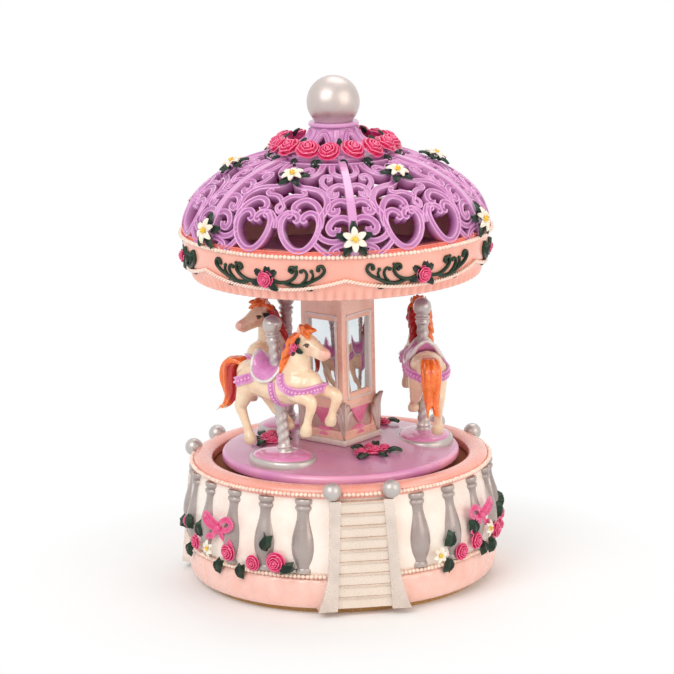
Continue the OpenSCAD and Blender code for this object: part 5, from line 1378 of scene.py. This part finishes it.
for side in (-1, 1):
    spot = on_hide((9.6, 0, 37.6), (0, side, 0.05), 0.2)
    out = shifted(*spot) @ rotated(-90 * side, "X")
    cheek_flowers.append(out @ sized(1.9))
    cheek_flowers.append(out @ shifted(-1.5, 2.0 * side, -0.2) @ sized(1.3))
    for angle in (60, 150, 250, 330):
        cheek_leaves.append(out @ rotated(angle) @ shifted(0.9, 0, 0.3) @ sized(2.9))
flowers = copies(rose(), "cheek_flowers", cheek_flowers)
sprigs = copies(leaf(thick=0.2), "cheek_leaves", cheek_leaves)

casting_parts = ((skin, "casting", horse_cream, "horse_cream", "body"),
                 (harness, "harness", [harness_pink, roll_white], "saddle_pink", "saddle"),
                 (mane, "locks", mane_orange, "mane_orange", "mane"),
                 (eye_pair, "eyes", [eye_black, lid_brown], "horse_cream", None),
                 (flowers, "cheek_roses", rose_paint, "rose_pink", None),
                 (sprigs, "cheek_sprigs", leaf_green, "leaf_green", None))
for letter, (azimuth, _) in zip("abc", HORSE_TURNS[::-1]):
    place = rotated(azimuth) @ shifted(HORSE_ORBIT, 0, 0) @ spun(math.pi / 2) @ shifted(0, 0, PAD_TOP)
    for master, kind, coats, slot_name, node in casting_parts:
        twin = twin_of(master, place)
        twin.name = "horse_%s_%s" % (letter, kind)
        bpy.context.view_layer.update()
        replaced = ["horse_%s_%s" % (letter, node)] if node else []
        finish(twin, "carousel", coats, slot_name, *replaced)
for master in (skin, harness, mane, eye_pair, flowers, sprigs):
    bpy.data.objects.remove(master)

# Poles. A silver pole with a spiral twist runs through each horse from its pad to a ball under the canopy.
# Rings part the twist from the plain lengths.
POLE_R, POLE_H, POLE_BALL_R, POLE_FOOT_X = 2.1, 44.0, 3.2, 1.1


def pole():
    outline = [(0, 0), (3.1, 0), (3.15, 0.35), (2.8, 0.9), (2.35, 1.3), (2.3, 1.6), (2.5, 1.9), (2.5, 2.3),
               (2.2, 2.6)]
    outline += [(POLE_R - 0.1, 3.0 + 0.42 * k) for k in range(28)]
    outline += [(POLE_R + 0.1, 15.2), (POLE_R + 0.1, 27.0)]
    outline += [(POLE_R - 0.1, 27.4 + 0.42 * k) for k in range(26)]
    outline += [(2.45, 38.6), (2.5, 39.0), (2.15, 39.4), (2.1, 39.8), (2.6, 40.2), (2.65, 40.6), (2.2, 41.0),
                (2.0, 41.4)]
    ball = [(POLE_BALL_R * math.cos(a), POLE_H + POLE_BALL_R * math.sin(a))
            for a in [math.radians(-50 + 10 * k) for k in range(14)]]
    part = turn("pole", outline + ball + [(0, POLE_H + POLE_BALL_R)], 40)

    def twist(point):
        angle, radius = polar(point)
        inside = 3.0 <= point.z <= 14.6 or 27.4 <= point.z <= 38.2
        if not inside or radius < 1:
            return point
        swell = 1 + 0.085 * math.cos(math.radians(2 * angle) - point.z * 2.05)
        return Vector((point.x * swell, point.y * swell, point.z))
    return reshape(part, twist)


pole_silver = paint("pole_silver_paint", (198, 191, 188), (186, 177, 173), patch=6, rough=0.3,
                    hollow_shade=(150, 138, 132), edge=(228, 220, 214), lacquer=0.4, metal=0.35)
poles = copies(pole(), "twisted_poles", [
    rotated(azimuth) @ shifted(HORSE_ORBIT, 0, 0) @ spun(math.pi / 2) @ shifted(POLE_FOOT_X, 0, PAD_TOP - 0.7)
    @ rotated(-lean, "Y") for azimuth, lean in HORSE_TURNS])
finish(poles, "carousel", pole_silver, "silver_paint", "horse_poles", smooth=50)

# Canopy band. A peach band bowed outwards, its lower edge gathered into a valance of small pleats.
# It is one casting with the dome; a flat deck closes it from below.
CANOPY_R, CANOPY_Z, BAND_H, BAND_LOW_R, BAND_TAPER = 52.3, 106.4, 15.2, 48.7, 3.6
BAND_TOP, BAND_IN_R = CANOPY_Z + BAND_H, 47.3
VALANCE_PLEATS = 96


def band_r(z):
    return BAND_LOW_R + BAND_TAPER * math.sin(math.pi / 2 * min(max((z - CANOPY_Z) / 14.6, 0), 1))


band_outline = [(BAND_IN_R, CANOPY_Z), (BAND_LOW_R - 0.5, CANOPY_Z)]
band_outline += [(band_r(z), z) for z in [CANOPY_Z + 0.3 + 0.55 * k for k in range(9)]]
band_outline += [(band_r(z), z) for z in [CANOPY_Z + 6 + 1.4 * k for k in range(7)]]
band_outline += [(CANOPY_R - 0.3, BAND_TOP - 0.1), (BAND_IN_R, BAND_TOP - 0.1)]
band = turn("gathered_band", band_outline, VALANCE_PLEATS * 6, closed=True)


def gather(point):
    """Pleats deepest at the lower edge that die out under the rope."""
    angle, radius = polar(point)
    fade = max(0, 1 - (point.z - CANOPY_Z) / 5.2) ** 0.7
    sway = 0.5 * math.sin(math.radians(angle * 7)) + 0.35 * math.sin(math.radians(angle * 17 + 40))
    fold = math.sin(math.radians(angle * VALANCE_PLEATS + 24 * sway))
    scale = (radius + 0.6 * fade * (fold - 0.1)) / radius if radius > BAND_IN_R + 0.2 else 1
    return Vector((point.x * scale, point.y * scale,
                   point.z + 0.12 * fade * fold * (radius > BAND_IN_R + 0.2)))


reshape(band, gather)
band_peach = paint("band_peach_paint", (249, 184, 166), (246, 172, 154), patch=14, rough=0.26, grain=0.03,
                   hollow_shade=(216, 124, 112), edge=(252, 204, 186), lacquer=0.5)
finish(band, "carousel", band_peach, "band_peach", "canopy_band", smooth=50)
# The deck's rose colour is darkened as painted shade for the dome's inside, seen through the lattice.
dress("canopy_deck", paint("deck_rose_shade_paint", (160, 58, 116), (134, 42, 104), patch=9, rough=0.35))

# Canopy pearls. One string where the dome meets the band.
# The pearls are the base's.
CANOPY_PEARLS = (53.07, 121.7)
finish(pearl_string("canopy_pearls", *CANOPY_PEARLS, lambda a: False), "carousel", pearl_paint, "pearl_bead",
       "canopy_beads")

# Rope. Two twisted strands that swag round the band between six high points, painted pearl pink.
# They lie on the head of the valance.
VINE_AZIMUTH, RIB_AZIMUTH = 243.2, 276.5
ROPE_LOW_Z, ROPE_RISE, ROPE_PITCH, ROPE_SAMPLES = CANOPY_Z + 4, 3.4, 2.3, 1120


def rope_z(azimuth):
    sag = abs(math.sin(math.radians(3 * (azimuth - VINE_AZIMUTH - 30))))
    return ROPE_LOW_Z + ROPE_RISE * (1 - sag) ** 1.4


def outward(point):
    return Vector((point.x, point.y, 0)).normalized()


def at(angle, radius, z):
    """A point by its angle round the box's axis, in radians."""
    return Vector((radius * math.cos(angle), radius * math.sin(angle), z))


strands = []
rope_twists = round(2 * math.pi * 51 / ROPE_PITCH)
for strand in (0, 1):
    route = []
    for k in range(ROPE_SAMPLES):
        azimuth = 360 * k / ROPE_SAMPLES
        z = rope_z(azimuth)
        twist = 2 * math.pi * (rope_twists * k / ROPE_SAMPLES + strand / 2)
        route.append(at(math.radians(azimuth), band_r(z) + 0.75 + 0.34 * math.cos(twist),
                        z + 0.34 * math.sin(twist)))
    strands.append(strip("strand", route, round_section(6, 0.36), outward, loop=True))
rope_pearl = paint("rope_pearl_paint", (250, 214, 196), (244, 192, 174), patch=2, rough=0.26,
                   hollow_shade=(200, 128, 110), edge=(253, 232, 218), lacquer=0.5)
finish(join("twisted_rope", strands), "carousel", rope_pearl, "rope_pearl", "rope_string", smooth=60)

# Vines. Curling stems with knobbed ends spring from both sides of a rose on each face of the band.
# They are cast in relief and painted nearly black green.
VINE_ROSE_Z = 113.8
STEMS = [
    ([(1.6, 0.2), (4.2, -0.9), (7, -0.8), (9.6, 0.5), (11, 2.4), (10.6, 4.2), (9.2, 4.4), (8.7, 3.3),
      (9.4, 2.9)], 0.78),
    ([(6, -0.9), (9.6, -1.9), (13, -1.4), (16.2, 0), (18.8, 1.4), (20.3, 3.2), (19.8, 4.9), (18.4, 4.7),
      (18.2, 3.7)], 0.78),
    ([(12, -1.5), (13.7, 0.2), (14.4, 2.2), (13.6, 3.6), (12.6, 3.2)], 0.62),
    ([(12.4, -1.7), (13.8, -3.1), (15.3, -3.3), (15.6, -2.3)], 0.58),
    ([(15.4, -0.3), (16.4, 1.6), (16.2, 3)], 0.54),
]
STEM_KNOBS = [(9.5, 2.9, 0.75), (18.3, 3.7, 0.8), (12.6, 3.1, 0.72), (15.5, -2.4, 0.7), (16.1, 3.2, 0.66),
              (11.2, 4.6, 0.55), (7.4, -1.7, 0.5)]


def on_band(azimuth, x, y, out=0.0):
    """A point on the band, x along it and y up it from a vine's rose."""
    z = VINE_ROSE_Z + y
    return at(math.radians(azimuth) + x / band_r(z), band_r(z) + out, z)


growth = []
vine_turns = [VINE_AZIMUTH + 60 * k for k in range(6)]
for azimuth in vine_turns:
    for side in (-1, 1):
        for stem, thick in STEMS:
            flat = glide([(side * x, y, 0) for x, y in stem], 5)
            line = [on_band(azimuth, p.x, p.y, 0.3) for p in flat]
            growth.append(strip("stem", line, round_section(7, thick), outward,
                                size_of=lambda share: (0.88 - 0.2 * share, 1.1)))
        growth += [globe(size, on_band(azimuth, side * x, y, 0.25)) for x, y, size in STEM_KNOBS]
finish(join("curling_vines", growth), "carousel", leaf_green, "leaf_green", "vine_scrolls", smooth=60)

# Dome. A pierced shell of scrolled strips between six flat ribs: hearts, arches, curls and two rings.
# Each strip has a raised bead along both edges; it is cast in one and painted orchid.
DOME_H, DOME_POWER, DOME_END = 28.0, 2.15, 68.57
SHELL_T = 3.2


def meridian(t):
    return CANOPY_R * math.cos(t) ** (2 / DOME_POWER), BAND_TOP + DOME_H * math.sin(t) ** (2 / DOME_POWER)


meridian_run = [(0.0, 0.0)]
for k in range(1, 561):
    t = math.radians(DOME_END * 1.02) * k / 560
    (r0, z0), (r1, z1) = meridian(t - math.radians(DOME_END * 1.02) / 560), meridian(t)
    meridian_run.append((meridian_run[-1][0] + math.hypot(r1 - r0, z1 - z0), t))
DOME_RUN = meridian_run[550][0]


def dome_angle(run):
    """The meridian's parameter at a distance up the shell."""
    low, high = 0, len(meridian_run) - 1
    while high - low > 1:
        middle = (low + high) // 2
        if meridian_run[middle][0] < run:
            low = middle
        else:
            high = middle
    (s0, t0), (s1, t1) = meridian_run[low], meridian_run[high]
    return t0 + (t1 - t0) * (run - s0) / (s1 - s0)


def dome_spot(azimuth, x, run, out=0.0):
    """A point on the shell: x across from an azimuth, measured at its foot, run up it, out from it."""
    t = dome_angle(min(max(run, 0.02), DOME_RUN))
    radius, z = meridian(t)
    near_r, near_z = meridian(max(t - 0.01, 0.0001))
    slope = math.atan2(radius - near_r, z - near_z)
    radius += out * math.cos(slope)
    z -= out * math.sin(slope)
    return at(math.radians(azimuth) + x / CANOPY_R, radius, z)


def dome_out(point):
    """The shell's outward direction near a point."""
    radius = math.hypot(point.x, point.y)
    share_r, share_z = radius / CANOPY_R, max(point.z - BAND_TOP, 0.01) / DOME_H
    out_r = share_r ** (DOME_POWER - 1) / CANOPY_R
    out_z = share_z ** (DOME_POWER - 1) / DOME_H
    return Vector((point.x / radius * out_r, point.y / radius * out_r, out_z)).normalized()


def beaded_strip(width, low=-SHELL_T, high=0.0):
    half = width / 2
    return [(-half, low), (half, low), (half, high + 0.16), (half - 0.2, high + 0.36),
            (half - 0.45, high + 0.26), (half - 0.62, high), (-half + 0.62, high),
            (-half + 0.45, high + 0.26), (-half + 0.2, high + 0.36), (-half, high + 0.16)]


HEART_MIDDLE = (8.9, 9.1)
HEART = [(2.0, 3.5), (1.3, 2.8), (0.7, 3.6), (1.3, 5.0), (3.3, 6.0), (5.6, 5.1), (6.75, 2.6), (6.5, -0.6),
         (4.9, -4.0), (2.5, -6.4), (0, -7.2)]
SCROLLS = [
    # arch over a heart, its curl towards the middle
    ([(7.6, 16.8), (6.9, 15.9), (5.9, 16.5), (5.9, 18.2), (7.8, 19.9), (10.8, 20.4), (13.8, 18.8),
      (15.7, 16.0), (16.4, 12.6), (15.9, 9.6)], 1.7),
    # ogee that rises from the ribs' scrolls to the upper lily
    ([(16.2, 13.6), (18.2, 17.2), (18.0, 21.2), (15.0, 24.6), (10.6, 26.0), (6.2, 26.6), (3.0, 28.2),
      (0.6, 31.4)], 1.8),
    # stem between the hearts that opens into the small diamond
    ([(0.0, 9.4), (0.2, 11.6), (1.6, 13.9), (3.6, 15.2), (4.9, 14.8), (4.9, 13.7), (4.0, 13.6)], 1.3),
    ([(0.0, 19.2), (1.5, 17.2), (0.0, 15.0), (-1.5, 17.2)], 1.0),
    # curls under the ogee
    ([(0.0, 19.6), (1.8, 21.4), (4.4, 22.4), (7.2, 22.4), (8.6, 23.4), (7.9, 24.5), (6.9, 24.0)], 1.4),
    # scrolls stacked up the rib
    ([(27.0, 12.0), (24.0, 13.2), (20.8, 12.4), (19.0, 9.9), (19.9, 8.0), (21.8, 8.2), (22.2, 9.8)], 1.7),
    ([(27.0, 19.0), (23.8, 20.2), (20.6, 19.2), (19.0, 16.6), (20.1, 14.8), (22.0, 15.4), (22.0, 17.0)], 1.7),
    ([(27.0, 26.6), (23.6, 27.8), (20.2, 26.6), (18.8, 23.8), (19.9, 22.0), (21.8, 22.6), (21.8, 24.2)], 1.7),
    # strip from a heart's side to the rib, and the curl at the rib's foot
    ([(14.8, 8.2), (17.0, 6.0), (20.2, 5.0), (23.4, 5.6), (27.0, 7.2)], 1.5),
    ([(26.4, 4.0), (23.4, 3.9), (20.6, 2.9), (19.6, 1.4), (20.6, 0.6), (22.0, 1.4), (21.5, 2.2)], 1.4),
    ([(14.2, 4.6), (16.2, 2.6), (18.4, 1.0), (19.4, 0.3)], 1.3),
    # upper strips from the lily and the rib to the crown
    ([(2.2, 32.6), (6.4, 32.2), (10.2, 33.8), (12.6, 36.8), (13.2, 41.0)], 1.7),
    ([(18.6, 25.4), (15.4, 28.6), (14.8, 31.6), (16.6, 33.4), (18.8, 32.8), (18.8, 31.0), (17.4, 30.8)], 1.5),
    ([(27.0, 32.6), (23.0, 33.6), (20.2, 36.0), (19.6, 41.0)], 1.7),
    ([(0.0, 34.0), (1.8, 37.0), (5.2, 38.6), (7.4, 37.6), (7.2, 35.8), (5.8, 35.9)], 1.4),
]

shell = []
for sector in range(6):
    middle = RIB_AZIMUTH + 30 + 60 * sector
    for side in (-1, 1):
        heart = mirrored(HEART)
        flat = glide([(side * HEART_MIDDLE[0] + x, HEART_MIDDLE[1] + y, 0) for x, y in heart], 4)
        shell.append(strip("heart", [dome_spot(middle, p.x, p.y, 0.05) for p in flat], beaded_strip(1.95),
                           dome_out))
        for number, (scroll, width) in enumerate(SCROLLS):
            flat = glide([(side * x, y, 0) for x, y in scroll], 4)
            line = [dome_spot(middle, p.x, p.y, -0.04 - 0.035 * (number % 5)) for p in flat]
            shell.append(strip("scroll", line, beaded_strip(width * 1.28), dome_out))
crown_ring = [dome_spot(3 * k, 0, DOME_RUN - 1.2, -0.1) for k in range(120)]
shell.append(strip("crown_ring", crown_ring, beaded_strip(3.4), dome_out, loop=True))
lattice = join("scrolled_lattice", shell)


def wall_depth(point):
    """How far a place lies under the shell's outer face, as a share of the shell's thickness."""
    reach, rise = math.hypot(point.x, point.y) / CANOPY_R, max(point.z - BAND_TOP, 0) / DOME_H
    return (1 - (reach ** DOME_POWER + rise ** DOME_POWER) ** (1 / DOME_POWER)) * CANOPY_R / SHELL_T


# Painted shade: the strips darken towards deep magenta the further they lie under the shell's outer face.
store(lattice, "wash", wall_depth)
foot_line = [dome_spot(3 * k, 0, 0.7, -0.1) for k in range(120)]
foot_ring = strip("dome_foot_ring", foot_line, beaded_strip(2.2), dome_out, loop=True)
orchid = paint("dome_orchid_paint", (218, 154, 208), (208, 138, 198), patch=9, rough=0.28, grain=0.02,
               hollow_shade=(140, 56, 130), edge=(228, 176, 220), lacquer=0.5)
overpaint(orchid, "wash", (146, 48, 124))
finish(lattice, "carousel", orchid, "orchid_resin", "dome_lattice", smooth=40)
ring_salmon = paint("foot_ring_salmon_paint", (246, 140, 124), (240, 122, 110), patch=9, rough=0.26,
                    lacquer=0.5)
finish(foot_ring, "carousel", ring_salmon, "orchid_resin", smooth=40)

# Ribs. Six flat straps from the band to the crown, a little proud of the scrolls.
# They are part of the dome's casting.
RIB_STRIP = [(-1.45, -2.4), (1.45, -2.4), (1.45, 0.1), (1.25, 0.3), (-1.25, 0.3), (-1.45, 0.1)]
straps = []
for sector in range(6):
    line = [dome_spot(RIB_AZIMUTH + 60 * sector, 0, 0.5 + (DOME_RUN - 0.9) * k / 48, 0.45) for k in range(49)]
    straps.append(strip("strap", line, RIB_STRIP, dome_out, size_of=lambda share: (1.05 - 0.2 * share, 1.0)))
finish(join("flat_ribs", straps), "carousel", orchid, "orchid_resin", smooth=35)

# Crown. A concave neck with six pointed windows that carries the ball, with raised arches round the windows.
# It closes the dome's top.
CROWN_R, CROWN_Z, CROWN_H, NECK_R = 20.5, 147.8, 10.8, 7.74
CROWN_LOW, CROWN_TOP = CROWN_Z + 0.1, CROWN_Z + CROWN_H


def crown_spot(share):
    """Radius and height up the crown's concave side."""
    a = math.pi / 2 * share
    return (NECK_R + (CROWN_R - NECK_R) * (1 - math.sin(a)),
            CROWN_LOW + 1.2 + (CROWN_H - 2.8) * (1 - math.cos(a)))


crown_outline = [(CROWN_R - 1.8, CROWN_LOW), (CROWN_R - 0.3, CROWN_LOW), (CROWN_R, CROWN_LOW + 0.3),
                 (CROWN_R, CROWN_LOW + 0.9)]
crown_outline += [crown_spot(k / 18) for k in range(1, 19)]
crown_outline += [(NECK_R + 0.55, CROWN_TOP - 1.45), (NECK_R + 0.85, CROWN_TOP - 1.1),
                  (NECK_R + 0.85, CROWN_TOP - 0.5), (NECK_R + 0.5, CROWN_TOP - 0.1),
                  (NECK_R - 1.5, CROWN_TOP - 0.1)]
crown_outline += [(crown_spot(k / 18)[0] - 1.6, crown_spot(k / 18)[1] - 1.1) for k in range(18, 0, -1)]
crown = turn("windowed_crown", crown_outline, 96, closed=True)
PANE_HALF = [(-1.7, 0), (-2.2, 1.3), (-2.1, 2.8), (-1.3, 4.6), (0, 6.0)]
pane = plate("pane", mirrored(PANE_HALF), 0, 17)
cutter = copies(pane, "cutter", [spin_place(RIB_AZIMUTH + 30 + 60 * k, 6.9, CROWN_Z + 1.7) for k in range(6)])
modify(crown, "BOOLEAN", operation="DIFFERENCE", object=cutter, solver="EXACT")
bpy.data.objects.remove(cutter)
finish(crown, "carousel", orchid, "orchid_resin", "dome_crown", smooth=35)
ARCH = [(-13, 0.0), (-14.5, 0.2), (-14, 0.44), (-9, 0.66), (0, 0.8), (9, 0.66), (14, 0.44), (14.5, 0.2),
        (13, 0.0)]
ARCH_BEAD = [(across * 0.9, up) for across, up in beaded_strip(1.4, -0.7, 0.0)]
FLUTE_BEAD = [(-1.2, -0.8), (1.2, -0.8), (1.2, 0.1), (0.9, 0.25), (-0.9, 0.25), (-1.2, 0.1)]


def on_crown(azimuth, share, lift):
    """A point lifted off the crown's concave side."""
    radius, z = crown_spot(share)
    return at(math.radians(azimuth), radius + lift, z + lift)


arches = []
for k in range(6):
    middle = RIB_AZIMUTH + 30 + 60 * k
    for size, lift in ((1.0, 0.25), (1.42, 0.12)):
        curve = glide([(a * size, 0.02 + up * size ** 0.4, 0) for a, up in ARCH], 5)
        line = [on_crown(middle + min(max(p.x, -26), 26), min(max(p.y, 0), 1), lift) for p in curve]
        arches.append(strip("arch", line, ARCH_BEAD, lambda p: outward(p) * 0.6 + Vector((0, 0, 0.8))))
    line = [on_crown(middle + 30, 0.02 + 0.9 * n / 16, 0.3) for n in range(17)]
    arches.append(strip("flute", line, FLUTE_BEAD, lambda p: outward(p) * 0.7 + Vector((0, 0, 0.7)),
                        size_of=lambda share: (1 - 0.35 * share, 1.0)))
finish(join("crown_arches", arches), "carousel", orchid, "orchid_resin", smooth=40)

# Wreath and canopy roses. Sixteen roses round the crown's foot and one in the middle of each vine.
# The same rose as on the base.
WREATH_COUNT, WREATH_R, WREATH_Z, WREATH_TIP = 16, 18.9, 150.5, 55
wreath_places = []
for k in range(WREATH_COUNT):
    azimuth = RIB_AZIMUTH + 360 / WREATH_COUNT * (k + 0.5)
    place = spin_place(azimuth, WREATH_R, WREATH_Z + spin_random.uniform(-0.3, 0.3), WREATH_TIP)
    place = place @ spun(spin_random.uniform(0, 6)) @ spun(spin_random.uniform(-0.25, 0.25), "X")
    wreath_places.append(place @ sized(3.95 + spin_random.uniform(-0.25, 0.35)))
vine_rose_places = [spin_place(a, band_r(VINE_ROSE_Z) + 0.2, VINE_ROSE_Z) @ spun(spin_random.uniform(0, 6))
                    @ sized(2.75) for a in vine_turns]
finish(copies(rose(), "canopy_rose_heads", wreath_places + vine_rose_places), "carousel", rose_paint,
       "rose_pink", "canopy_roses", smooth=60)

# Dome lilies and leaves. A lily stands at each rib's foot and one high in each sector, on a ring of leaves.
# Single leaves show between the wreath's roses and beside the vine roses.
# (distance up the shell, size)
FOOT_LILY, HIGH_LILY = (5.4, 4.3), (30.6, 3.9)


def dome_place(azimuth, run, out):
    """Where a flower lies on the shell: x across, y up the meridian, z outwards."""
    spot, above = dome_spot(azimuth, 0, run, out), dome_spot(azimuth, 0, run + 0.5, out)
    up = (above - spot).normalized()
    facing = dome_out(spot)
    across = up.cross(facing).normalized()
    frame_axes = Matrix((across, facing.cross(across), facing)).transposed().to_4x4()
    return shifted(*spot) @ frame_axes


flower_spots = [(RIB_AZIMUTH + 60 * k, *FOOT_LILY) for k in range(6)]
flower_spots += [(RIB_AZIMUTH + 30 + 60 * k, *HIGH_LILY) for k in range(6)]
dome_lilies = copies(lily(), "dome_lily_heads", [
    dome_place(a, run, 1.3) @ spun(math.radians(90) + spin_random.uniform(-0.2, 0.2)) @ sized(size)
    for a, run, size in flower_spots])
finish(dome_lilies, "carousel", [lily_white, lily_yellow], "lily_white", "canopy_lilies", smooth=60)
sprays = []
for a, run, size in flower_spots:
    sprays += [dome_place(a, run, 1.05) @ rotated(90 + 72 * n) @ shifted(size * 0.42, 0, 0) @ spun(-0.12, "Y")
               @ sized(size * 1.02) for n in range(5)]
for k in range(WREATH_COUNT):
    azimuth = RIB_AZIMUTH + 360 / WREATH_COUNT * k
    for swing in ((-18, 30) if k % 2 else (24,)):
        sprays.append(spin_place(azimuth, WREATH_R + 2.6, WREATH_Z - 1.9, 50) @ rotated(270 + swing)
                      @ spun(0.1, "Y") @ sized(3.7))
    if k % 2 == 0:
        sprays.append(spin_place(azimuth, WREATH_R - 1.6, WREATH_Z + 1.6, 60) @ rotated(90) @ spun(-0.5, "Y")
                      @ sized(3.3))
for azimuth in vine_turns:
    sprays += [spin_place(azimuth, band_r(VINE_ROSE_Z) + 0.55, VINE_ROSE_Z) @ rotated(angle)
               @ shifted(reach * 0.85, 0, 0) @ sized(3.7)
               for angle, reach in ((38, 1.9), (142, 1.9), (200, 2.1), (318, 2.2), (78, 2.0))]
finish(copies(leaf(thick=0.18), "canopy_leaf_sprays", sprays), "carousel", leaf_green, "leaf_green",
       "canopy_leaves", smooth=60)

# Ball. A hollow ball on a short collar crowns the box, painted silver.
# It is glued in the crown's neck.
BALL_R, BALL_Z = 9.0, 165.1
ball_outline = [(0, CROWN_TOP - 0.4), (5.4, CROWN_TOP - 0.4), (6.3, CROWN_TOP - 0.1), (6.6, CROWN_TOP + 0.2)]
ball_outline += [(BALL_R * math.cos(a), BALL_Z + BALL_R * math.sin(a))
                 for a in [math.radians(-42 + 3.3 * k) for k in range(40)]] + [(0, BALL_Z + BALL_R)]
ball_silver = paint("ball_silver_paint", (204, 193, 189), (191, 179, 176), patch=12, rough=0.36, grain=0.004,
                    lacquer=0.25, metal=0.6)
finish(turn("crowning_ball", ball_outline, 72), "carousel", ball_silver, "silver_ball", "finial_ball",
       smooth=40)

# Floor, backdrop light and camera. A plain pale floor under soft studio lamps.
# Only the floor and the lights belong here; none of it is part of the box.
FLOOR_SPAN, FADE_NEAR, FADE_FAR = 8, 0.058, 0.115
deselect()
bpy.ops.mesh.primitive_plane_add(size=1)
floor = bpy.context.object
floor.name = "studio_floor"
with Editing():
    bpy.ops.transform.resize(value=(FLOOR_SPAN, FLOOR_SPAN, 1))
settle()
pale_floor, floor_tree, floor_shader, floor_place = blank_finish("pale_floor")
feed(floor_tree, floor_shader, {"Base Color": (0.93, 0.96, 0.98, 1), "Roughness": 0.8})
floor_far = wired(floor_tree, "VectorMath", {0: floor_place}, operation="LENGTH").outputs["Value"]
floor_glow = wired(floor_tree, "Emission", {}).outputs["Emission"]
floor_blend = wired(floor_tree, "MixShader", {"Fac": spread(floor_tree, floor_far, FADE_NEAR, FADE_FAR),
                                              1: floor_shader.outputs["BSDF"], 2: floor_glow})
feed(floor_tree, floor_tree.nodes["Material Output"], {"Surface": floor_blend.outputs["Shader"]})
floor.data.materials.append(pale_floor)

AMBIENT, SHOWN_WHITE = 0.5, 1.0
world = bpy.data.worlds.new("studio")
bpy.context.scene.world = world
world.use_nodes = True
sky = world.node_tree
rays = wired(sky, "LightPath", {}).outputs


def either(first, second):
    """One where either ray test holds."""
    return wired(sky, "Math", {0: first, 1: second}, operation="MAXIMUM").outputs["Value"]


shown = either(either(rays["Is Camera Ray"], rays["Is Glossy Ray"]), rays["Is Transmission Ray"])
feed(sky, sky.nodes["Background"], {"Strength": spread(sky, shown, 0, 1, AMBIENT, SHOWN_WHITE),
                                    "Color": mixed(sky, shown, (1, 0.94, 0.89, 1), (1, 1, 1, 1))})


def softbox(name, place, aim, size, watts, colour):
    """A square area lamp pointed at a spot."""
    lamp_data = bpy.data.lights.new(name, "AREA")
    lamp_data.size = size
    lamp_data.energy = watts
    lamp_data.color = colour
    lamp = bpy.data.objects.new(name, lamp_data)
    bpy.context.collection.objects.link(lamp)
    lamp.location = place
    lamp.rotation_euler = (Vector(aim) - Vector(place)).to_track_quat("-Z", "Y").to_euler()


MIDDLE = (0, 0, 0.09)
softbox("key_lamp", (-0.55, -0.75, 0.85), MIDDLE, 0.8, 7.4, (1, 0.97, 0.95))
softbox("fill_lamp", (0.8, -0.6, 0.5), MIDDLE, 0.8, 4.4, (1, 0.87, 0.75))
softbox("back_lamp", (0.15, 0.5, 1.15), MIDDLE, 0.8, 4, (1, 0.96, 0.94))

camera_data = bpy.data.cameras.new("camera")
camera = bpy.data.objects.new("camera", camera_data)
bpy.context.collection.objects.link(camera)
camera_data.sensor_width = 36
camera_data.lens = 159.07
camera_data.clip_start = 0.05
camera_data.clip_end = 20
CAMERA_PLACE, CAMERA_AIM, CAMERA_ROLL = Vector((0, -1.0, 0.30765)), Vector((0, 0, 0.08)), -0.0212
camera_data.shift_x = -0.0019881
camera_data.shift_y = 0.0146588
camera.location = CAMERA_PLACE
facing = (CAMERA_AIM - CAMERA_PLACE).to_track_quat("-Z", "Y").to_matrix()
camera.rotation_euler = (facing @ Matrix.Rotation(CAMERA_ROLL, 3, "Z")).to_euler()
bpy.context.scene.camera = camera
bpy.context.scene.view_settings.view_transform = "Standard"

bpy.context.view_layer.update()
